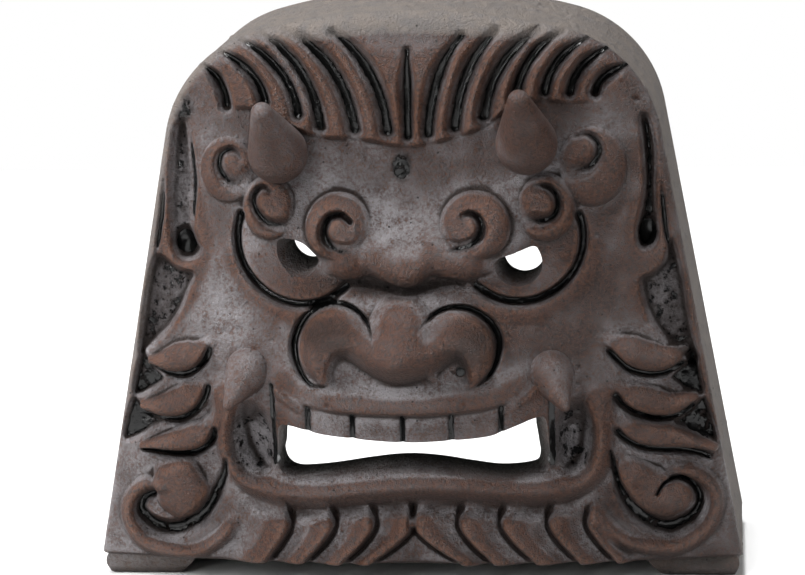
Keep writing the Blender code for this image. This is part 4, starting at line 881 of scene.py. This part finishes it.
def shell_mesh(sheet):
    """The closed body: carved front, walls back to the rim, and a flat back."""
    grid = face_points()
    rows, columns = grid.shape[:2]
    z = DRAWN_UNDERSIDE + (grid[..., 1] - FOOT_HEIGHT) / RISE_UNIT
    out = sheet.read(sheet.height, grid[..., 0] / UNIT, z)
    front = np.stack([grid[..., 0], FRONT - out * UNIT, grid[..., 1]], -1).reshape(-1, 3)
    index = np.arange(rows * columns).reshape(rows, columns)
    quads = grid_quads(index)
    loop = np.concatenate([index[0, :-1], index[:-1, -1], index[-1, :0:-1], index[:0:-1, 0]])
    points = [front]
    faces = [quads]
    ring = loop
    edge = front[loop]
    away = np.roll(edge, -1, 0) - np.roll(edge, 1, 0)
    outward = np.stack([away[:, 2], np.zeros(len(edge)), -away[:, 0]], -1)
    outward /= np.linalg.norm(outward, axis=1)[:, None]
    relief = wall_relief(len(loop))
    first = len(front)
    for step in range(1, WALL_ROWS + 1):
        share = step / WALL_ROWS
        row = edge + outward * relief[step - 1][:, None]
        row[:, 1] = edge[:, 1] * (1 - share) + HIGH.y * share
        points.append(row)
        nxt = np.arange(first, first + len(loop))
        faces.append(np.stack([ring, nxt, np.roll(nxt, -1), np.roll(ring, -1)], -1))
        ring = nxt
        first += len(loop)
    mesh = bpy.data.meshes.new("onigawara_body")
    flat = np.vstack(faces).tolist()
    flat.append(ring.tolist())
    mesh.from_pydata(np.vstack(points).tolist(), [], flat)
    return mesh


def new_object(name, data, helper=True):
    obj = bpy.data.objects.new(name, data)
    bpy.context.scene.collection.objects.link(obj)
    if helper:
        obj.hide_render = True
        obj.display_type = "WIRE"
    return obj


def loft_mesh(name, rings):
    """A closed skin over rings of equal length, each a list of points, capped at both ends."""
    mesh = bmesh.new()
    loops = [[mesh.verts.new(point) for point in ring] for ring in rings]
    for first, second in zip(loops, loops[1:]):
        for i in range(len(first)):
            j = (i + 1) % len(first)
            mesh.faces.new((first[i], first[j], second[j], second[i]))
    mesh.faces.new(reversed(loops[0]))
    mesh.faces.new(loops[-1])
    bmesh.ops.recalc_face_normals(mesh, faces=mesh.faces)
    data = bpy.data.meshes.new(name)
    mesh.to_mesh(data)
    mesh.free()
    return data


def block_mesh(name, sheet, setback, back):
    """A block whose front is the sheet's relief, moved back by setback, and whose back is flat."""
    rows, columns = sheet.x.shape
    front = place(sheet.x, sheet.z, sheet.height).reshape(-1, 3) + (0, setback, 0)
    corners = [0, columns - 1, rows * columns - 1, (rows - 1) * columns]
    rear = front[corners] * (1, 0, 1) + (0, back, 0)
    first = len(front)
    index = np.arange(rows * columns).reshape(rows, columns)
    faces = grid_quads(index).tolist()
    faces.append([*index[0, ::-1].tolist(), first, first + 1])
    faces.append([*index[::-1, -1].tolist(), first + 1, first + 2])
    faces.append([*index[-1].tolist(), first + 2, first + 3])
    faces.append([*index[:, 0].tolist(), first + 3, first])
    faces.append((first + 3, first + 2, first + 1, first))
    mesh = bpy.data.meshes.new(name)
    mesh.from_pydata(np.vstack([front, rear]).tolist(), [], faces)
    return mesh


def boolean(obj, operation, other):
    modifier = obj.modifiers.new(other.name, "BOOLEAN")
    modifier.operation = operation
    modifier.solver = "EXACT"
    modifier.object = other


def cavity():
    sheet = Sheet(INSIDE_SPACING)
    shell_form(sheet)
    x, z, wide, high, depth = MOUTH_WALL
    swelling(sheet, (x, z), (wide, high), -depth)
    space = new_object("cavity", block_mesh("cavity", sheet, FRONT_WALL, HIGH.y + PAST))
    sides = outline(SIDE_WALL, FOOT_HEIGHT + FLOOR_WALL)
    rings = [[(x, y, z) for x, z in sides] for y in (FRONT - 2 * PAST, HIGH.y + PAST)]
    boolean(space, "INTERSECT", new_object("cavity_sides", loft_mesh("cavity_sides", rings)))
    return space


def mouth_cutter():
    front = curve(MOUTH_FRONT, 6, True)
    back = front * (MOUTH_BACK_SHARE, 1) + (MOUTH_BACK_SHIFT, 0)
    middle = front[:, 1].mean()
    back[:, 1] += MOUTH_BACK_LIFT * (1 - smooth_step(front[:, 1], middle - 6, middle + 3))
    rings = [place(border[:, 0], border[:, 1], out).tolist()
             for out, border in ((60.0, front), (TOOTH_PLANE, front), (MOUTH_BACK_PLANE, back), (-30.0, back))]
    return new_object("mouth_cutter", loft_mesh("mouth_cutter", rings))


def pupil_cutter(name, points, share, shift):
    front = curve(points, 5, True)
    middle = front.mean(axis=0)
    back = middle + (front - middle) * share + shift
    rings = [place(border[:, 0], border[:, 1], out).tolist()
             for out, border in ((60.0, front), (16.0, front), (2.0, back), (-30.0, back))]
    return new_object(name, loft_mesh(name, rings))


def spike(name, root, root_radius, tip, tip_radius):
    """A horn or a fang: a stout cone with a round root and a round tip."""
    start = Vector(place(*root))
    end = Vector(place(*tip))
    length = (end - start).length
    low, high = root_radius * UNIT, tip_radius * UNIT
    lean = np.degrees(np.arcsin((low - high) / length))
    rings = []
    for angle in np.linspace(-85, lean, 16):
        a = np.radians(angle)
        rings.append((low * np.sin(a), low * np.cos(a)))
    a = np.radians(lean)
    joint, last = np.array(rings[-1]), np.array([length + high * np.sin(a), high * np.cos(a)])
    for share in np.linspace(0, 1, 12)[1:-1]:
        rings.append(tuple(joint * (1 - share) + last * share))
    for angle in np.linspace(lean, 86, 12):
        a = np.radians(angle)
        rings.append((length + high * np.sin(a), high * np.cos(a)))
    turn = np.linspace(0, 2 * np.pi, 64, endpoint=False)
    loops = [[(radius * np.cos(a), radius * np.sin(a), along) for a in turn] for along, radius in rings]
    mesh = loft_mesh(name, loops)
    spin = (end - start).to_track_quat("Z", "Y").to_matrix().to_4x4()
    mesh.transform(Matrix.Translation(start) @ spin)
    return new_object(name, mesh)


def foot(name, side):
    """A flattened roll of clay luted under one edge of the body."""
    outer = BASE_WIDTH / 2 - FOOT_SETBACK
    inner = outer - FOOT_WIDTH
    round_off = FOOT_HEIGHT * 0.4
    top = FOOT_HEIGHT + 0.002
    section = curve([
        (outer - 0.002, top),
        (outer, FOOT_HEIGHT * 0.7),
        (outer - round_off * 0.4, round_off * 0.4),
        (outer - round_off * 1.4, 0.0),
        (inner + FOOT_SPLAY + round_off, 0.0),
        (inner + FOOT_SPLAY * 0.6, round_off * 0.6),
        (inner, FOOT_HEIGHT),
        (inner + 0.002, top),
    ], 5)
    low = FRONT + FOOT_SETBACK
    high = HIGH.y - FOOT_SETBACK
    rings = []
    for share in np.linspace(0, 1, 60):
        y = low + (high - low) * share
        near = min(y - low, high - y)
        lift = round_off * (1 - np.sqrt(max(0.0, 1 - max(0.0, 1 - near / round_off) ** 2)))
        rings.append([(side * x, y, max(z, lift, 0.0)) for x, z in section])
    return new_object(name, loft_mesh(name, rings))


def finished_tile(sheet):
    tile = new_object("onigawara_carved", shell_mesh(sheet), helper=False)
    total = sum(len(face.vertices) - 2 for face in tile.data.polygons)
    fewer = tile.modifiers.new("fewer_faces", "DECIMATE")
    fewer.ratio = FACES_KEPT / total
    for n, horn in enumerate(HORNS + FANGS):
        boolean(tile, "UNION", spike(f"spike_{n}", *horn))
    for side in (-1, 1):
        boolean(tile, "UNION", foot("foot_left" if side < 0 else "foot_right", side))
    boolean(tile, "DIFFERENCE", cavity())
    boolean(tile, "DIFFERENCE", mouth_cutter())
    for n, pupil in enumerate(PUPILS):
        boolean(tile, "DIFFERENCE", pupil_cutter(f"pupil_cutter_{n}", *pupil))
    bpy.context.view_layer.update()
    graph = bpy.context.evaluated_depsgraph_get()
    mesh = bpy.data.meshes.new_from_object(tile.evaluated_get(graph))
    tile.modifiers.clear()
    tile.data = mesh
    mesh.name = "onigawara_carved"
    for obj in list(bpy.data.objects):
        if obj.hide_render and obj.display_type == "WIRE":
            bpy.data.objects.remove(obj)
    return tile


def mark_surface(mesh, sheet):
    """What the material needs to know of each point: pools, hollows, drifts of ash and of painted shade, outer
    walls and cut walls.
    """
    points = np.empty(len(mesh.vertices) * 3)
    mesh.vertices.foreach_get("co", points)
    x, y, z = points.reshape(-1, 3).T
    across, up = x / UNIT, DRAWN_UNDERSIDE + (z - FOOT_HEIGHT) / RISE_UNIT
    behind = sheet.read(sheet.height, across, up) - (FRONT - y) / UNIT
    inside = edge_distance(x, z) / UNIT
    horn = smooth_step(-behind, 0.8, 2.0)
    outer = np.where(inside < 1.4, smooth_step(behind, 0.2, 3.5), 0.0)
    outer = np.maximum(outer, smooth_step(up, 212, 221) * (inside < 8))
    outer = np.maximum(outer, 0.75 * (1 - smooth_step(inside, 0.8, 4.0)) * (x < 0) * smooth_step(up, 50, 90))
    outer = np.where(z < FOOT_HEIGHT, 0.35, outer)
    cut = np.where((inside >= 1.4) & (z >= FOOT_HEIGHT), smooth_step(behind, 0.6, 2.0), 0.0)
    bare = (1 - horn) * (1 - cut) * (z >= FOOT_HEIGHT)
    marks = {
        "pool": sheet.read(sheet.pool, across, up) * bare * (1 - outer),
        "dip": sheet.read(sheet.dip, across, up) * bare,
        "sunken": sheet.read(sheet.sunken, across, up) * bare - 0.8 * horn,
        "outer": outer,
        "cut": cut,
        "ash_drifts_and_painted_shade": sheet.read(sheet.ash, across, up) * bare,
    }
    for name, values in marks.items():
        mesh.attributes.new(name, "FLOAT", "POINT").data.foreach_set("value", values.astype(np.float32))


class Nodes:
    """Short ways to add nodes to a material."""

    def __init__(self, material):
        self.tree = material.node_tree
        geometry = self.new("ShaderNodeNewGeometry")
        self.place = geometry.outputs["Position"]
        self.normal = geometry.outputs["Normal"]

    def new(self, kind):
        return self.tree.nodes.new(kind)

    def put(self, socket, value):
        if isinstance(value, bpy.types.NodeSocket):
            self.tree.links.new(value, socket)
        elif isinstance(value, tuple):
            socket.default_value = (*value, 1.0)
        else:
            socket.default_value = value

    def mark(self, name):
        node = self.new("ShaderNodeAttribute")
        node.attribute_name = name
        return node.outputs["Fac"]

    def math(self, operation, a, b, clamp=False):
        node = self.new("ShaderNodeMath")
        node.operation = operation
        node.use_clamp = clamp
        self.put(node.inputs[0], a)
        self.put(node.inputs[1], b)
        return node.outputs[0]

    def sum(self, *values):
        total = values[0]
        for value in values[1:]:
            total = self.math("ADD", total, value)
        return total

    def times(self, a, b, clamp=False):
        return self.math("MULTIPLY", a, b, clamp)

    def rest(self, share):
        """What is left of one."""
        return self.math("SUBTRACT", 1.0, share)

    def parts(self, vector):
        node = self.new("ShaderNodeSeparateXYZ")
        self.put(node.inputs[0], vector)
        return node.outputs

    def step(self, value, low, high, top=1.0):
        """From nothing at low to top at high."""
        node = self.new("ShaderNodeMapRange")
        node.interpolation_type = "SMOOTHSTEP"
        self.put(node.inputs["Value"], value)
        node.inputs["From Min"].default_value = low
        node.inputs["From Max"].default_value = high
        node.inputs["To Max"].default_value = top
        return node.outputs["Result"]

    def mix(self, share, a, b):
        node = self.new("ShaderNodeMix")
        node.data_type = "RGBA"
        self.put(node.inputs[0], share)
        self.put(node.inputs[6], a)
        self.put(node.inputs[7], b)
        return node.outputs[2]

    def blend(self, share, a, b):
        node = self.new("ShaderNodeMix")
        self.put(node.inputs[0], share)
        self.put(node.inputs[2], a)
        self.put(node.inputs[3], b)
        return node.outputs[0]

    def noise(self, grain, detail, rough):
        """Noise whose grain is given in millimetres."""
        node = self.new("ShaderNodeTexNoise")
        self.put(node.inputs["Vector"], self.place)
        node.inputs["Scale"].default_value = 1000.0 / grain
        node.inputs["Detail"].default_value = detail
        node.inputs["Roughness"].default_value = rough
        return node.outputs["Fac"]

    def dots(self, spacing, size):
        """One where a scattered speck lies, its size a share of their spacing in millimetres."""
        node = self.new("ShaderNodeTexVoronoi")
        self.put(node.inputs["Vector"], self.place)
        node.inputs["Scale"].default_value = 1000.0 / spacing
        return self.rest(self.step(node.outputs["Distance"], size * 0.6, size))


def clay_material():
    material = bpy.data.materials.new("glazed_stoneware")
    material.use_nodes = True
    n = Nodes(material)
    shader = material.node_tree.nodes["Principled BSDF"]
    shader.inputs["Specular IOR Level"].default_value = CLAY_SPECULAR
    pool, dip, sunken, outer = (n.mark(name) for name in ("pool", "dip", "sunken", "outer"))
    cut, ash_drifts_and_painted_shade = n.mark("cut"), n.mark("ash_drifts_and_painted_shade")
    facing = n.parts(n.normal)["Z"]
    upward = n.step(facing, 0.05, 0.70)
    downward = n.step(facing, -0.10, -0.75)
    across = n.parts(n.place)["X"]
    cloud = n.noise(26.0, 3.0, 0.55)
    patch = n.noise(7.0, 4.0, 0.65)
    grain = n.noise(1.3, 3.0, 0.75)
    fine = n.noise(0.45, 2.0, 0.6)

    # Reddish clay on what stands out, greyer brown between, darker in its grain, with painted shade in
    # crevices, under downward faces, where a drift is negative and towards the right side, and a painted
    # highlight on sharp crests
    crest = n.step(n.sum(sunken, n.times(patch, 1.2)), 0.9, -0.6)
    clay = n.mix(crest, CLAY_GREY, CLAY_RED)
    warm_and_highlight = (
        # warmer and lighter on sharp crests, partly the clay's redder edges and partly a painted highlight
        n.step(n.sum(dip, n.times(grain, 0.8)), -0.1, -0.7, 0.35),
        n.step(grain, 0.46, 0.34, 0.40),
    )
    for share in warm_and_highlight:
        clay = n.mix(share, clay, CLAY_WARM_AND_HIGHLIGHT)
    darker = (
        n.step(grain, 0.48, 0.62, 0.85),
        # painted shade: darker in crevices, where the blurred height stands above the surface
        n.step(dip, 0.15, 1.1, 0.75),
        n.step(pool, 0.05, 0.60, 0.85),
        # painted shade: darker under faces that look downward
        n.times(downward, 0.55),
        # painted shade where a drift is negative
        n.step(ash_drifts_and_painted_shade, 0.0, -0.9, 0.6),
        # painted shade: darker towards the right side, away from the key light
        n.step(across, -0.02, 0.12, 0.25),
    )
    for share in darker:
        clay = n.mix(share, clay, CLAY_DARK_AND_SHADE)

    # Silvery ash in the hollows and where it drifted, with a painted sheen on what faces upward and painted
    # light towards the left side, broken up by grain
    settled = n.sum(n.step(sunken, 0.0, 1.8, 0.50), n.step(cloud, 0.42, 0.66, 0.38))
    settled = n.times(settled, n.step(pool, 0.35, 0.05))
    # painted sheen on what faces upward and painted light towards the left side, added to the ash
    ash_and_painted_light_share = n.sum(settled, n.times(upward, 0.40), n.step(across, 0.08, -0.11, 0.30), ash_drifts_and_painted_shade)
    speckle = n.sum(n.times(patch, 0.55), n.times(grain, 0.80))
    ash = n.times(ash_and_painted_light_share, n.step(speckle, 0.42, 0.84), clamp=True)
    # no ash or painted sheen on crests, under downward faces or in crevices
    for share in (n.step(sunken, -0.5, -1.4, 0.8), downward, n.step(dip, 0.4, 1.2)):
        ash = n.times(ash, n.rest(share))
    colour = n.mix(ash, clay, ASH_AND_SHEEN)

    # Glossy black where the glaze ran together
    broken = n.sum(pool, n.times(n.math("SUBTRACT", n.noise(4.5, 5.0, 0.7), 0.5), 1.3))
    black = n.step(broken, 0.60, 0.72)
    colour = n.mix(black, colour, POOL)

    # Sandy outer walls, and dark, rough cut walls whose darkness is partly their own colour and partly painted
    # shade in the holes
    sand = n.mix(n.step(patch, 0.35, 0.7), SAND, SAND_GREY)
    sand = n.mix(n.step(fine, 0.55, 0.72, 0.6), sand, CLAY_DARK_AND_SHADE)
    colour = n.mix(outer, colour, sand)
    dark = n.mix(n.step(grain, 0.4, 0.7), CUT_DARK_AND_SHADE, CUT_OLIVE)
    colour = n.mix(cut, colour, dark)
    pits = n.dots(5.2, 0.09)
    colour = n.mix(n.times(pits, 0.9), colour, POOL)
    n.put(shader.inputs["Base Color"], colour)

    gloss = n.blend(ash, n.blend(grain, 0.30, 0.50), 0.22)
    gloss = n.blend(black, gloss, 0.07)
    gloss = n.blend(outer, gloss, 0.78)
    n.put(shader.inputs["Roughness"], n.blend(cut, gloss, 0.8))

    lumps = n.times(n.noise(3.4, 3.0, 0.6), n.blend(cut, 0.8, 3.0))
    height = n.times(n.sum(n.times(grain, 1.6), n.times(fine, 0.55), lumps), n.blend(black, 1.0, 0.10))
    height = n.math("SUBTRACT", height, n.times(pits, 0.5))
    bump = n.new("ShaderNodeBump")
    bump.inputs["Strength"].default_value = 1.0
    bump.inputs["Distance"].default_value = BUMP_UNIT
    n.put(bump.inputs["Height"], height)
    n.put(shader.inputs["Normal"], bump.outputs["Normal"])
    return material


def soft_light(name, place_at, aim, size, power):
    light = bpy.data.lights.new(name, "AREA")
    light.shape = "RECTANGLE"
    light.size, light.size_y = size
    light.energy = power
    obj = new_object(name, light, helper=False)
    obj.location = place_at
    obj.rotation_euler = (Vector(aim) - Vector(place_at)).to_track_quat("-Z", "Y").to_euler()


def studio():
    half, front, back = FLOOR
    corners = ((-half, front), (half, front), (half, back), (-half, back))
    floor_mesh = loft_mesh("floor", [[(x, y, z) for x, y in corners] for z in (-0.01, 0.0)])
    floor = new_object("studio_floor", floor_mesh, helper=False)
    material = bpy.data.materials.new("pale_paper")
    material.use_nodes = True
    shader = material.node_tree.nodes["Principled BSDF"]
    shader.inputs["Base Color"].default_value = (*PAPER, 1.0)
    shader.inputs["Roughness"].default_value = 0.8
    floor_mesh.materials.append(material)
    world = bpy.data.worlds.new("studio")
    world.use_nodes = True
    nodes = world.node_tree.nodes
    links = world.node_tree.links
    dim = nodes["Background"]
    dim.inputs["Color"].default_value = (*WHITE, 1.0)
    dim.inputs["Strength"].default_value = ROOM_LIGHT
    white = nodes.new("ShaderNodeBackground")
    white.inputs["Color"].default_value = (*WHITE, 1.0)
    seen = nodes.new("ShaderNodeLightPath")
    both = nodes.new("ShaderNodeMixShader")
    links.new(seen.outputs["Is Camera Ray"], both.inputs[0])
    links.new(dim.outputs[0], both.inputs[1])
    links.new(white.outputs[0], both.inputs[2])
    links.new(both.outputs[0], nodes["World Output"].inputs["Surface"])
    bpy.context.scene.world = world
    for name, box in SOFT_BOXES.items():
        soft_light(name, *box)


def camera():
    level = np.cos(CAMERA_TILT)
    back = Vector((np.sin(CAMERA_TURN) * level, -np.cos(CAMERA_TURN) * level, np.sin(CAMERA_TILT)))
    right = Vector((np.cos(CAMERA_TURN), np.sin(CAMERA_TURN), 0.0))
    up = back.cross(right)
    rolled_right = right * np.cos(CAMERA_ROLL) - up * np.sin(CAMERA_ROLL)
    rolled_up = up * np.cos(CAMERA_ROLL) + right * np.sin(CAMERA_ROLL)
    data = bpy.data.cameras.new("camera")
    data.lens = CAMERA_LENS
    data.sensor_width = 36.0
    obj = new_object("camera", data, helper=False)
    turn = Matrix((rolled_right, rolled_up, back)).transposed().to_4x4()
    obj.matrix_world = Matrix.Translation(CAMERA_AIM + back * CAMERA_DISTANCE) @ turn
    bpy.context.scene.camera = obj


sheet = carved_face(DRAWING_SPACING)
tile = finished_tile(sheet)
tile.data.materials.clear()
tile.data.materials.append(clay_material())
mark_surface(tile.data, sheet)
tile.data.shade_smooth()
tile.data.set_sharp_from_angle(angle=SHARP_EDGE)
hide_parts("onigawara")
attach(tile, "root")
studio()
camera()
bpy.context.scene.view_settings.view_transform = "Standard"
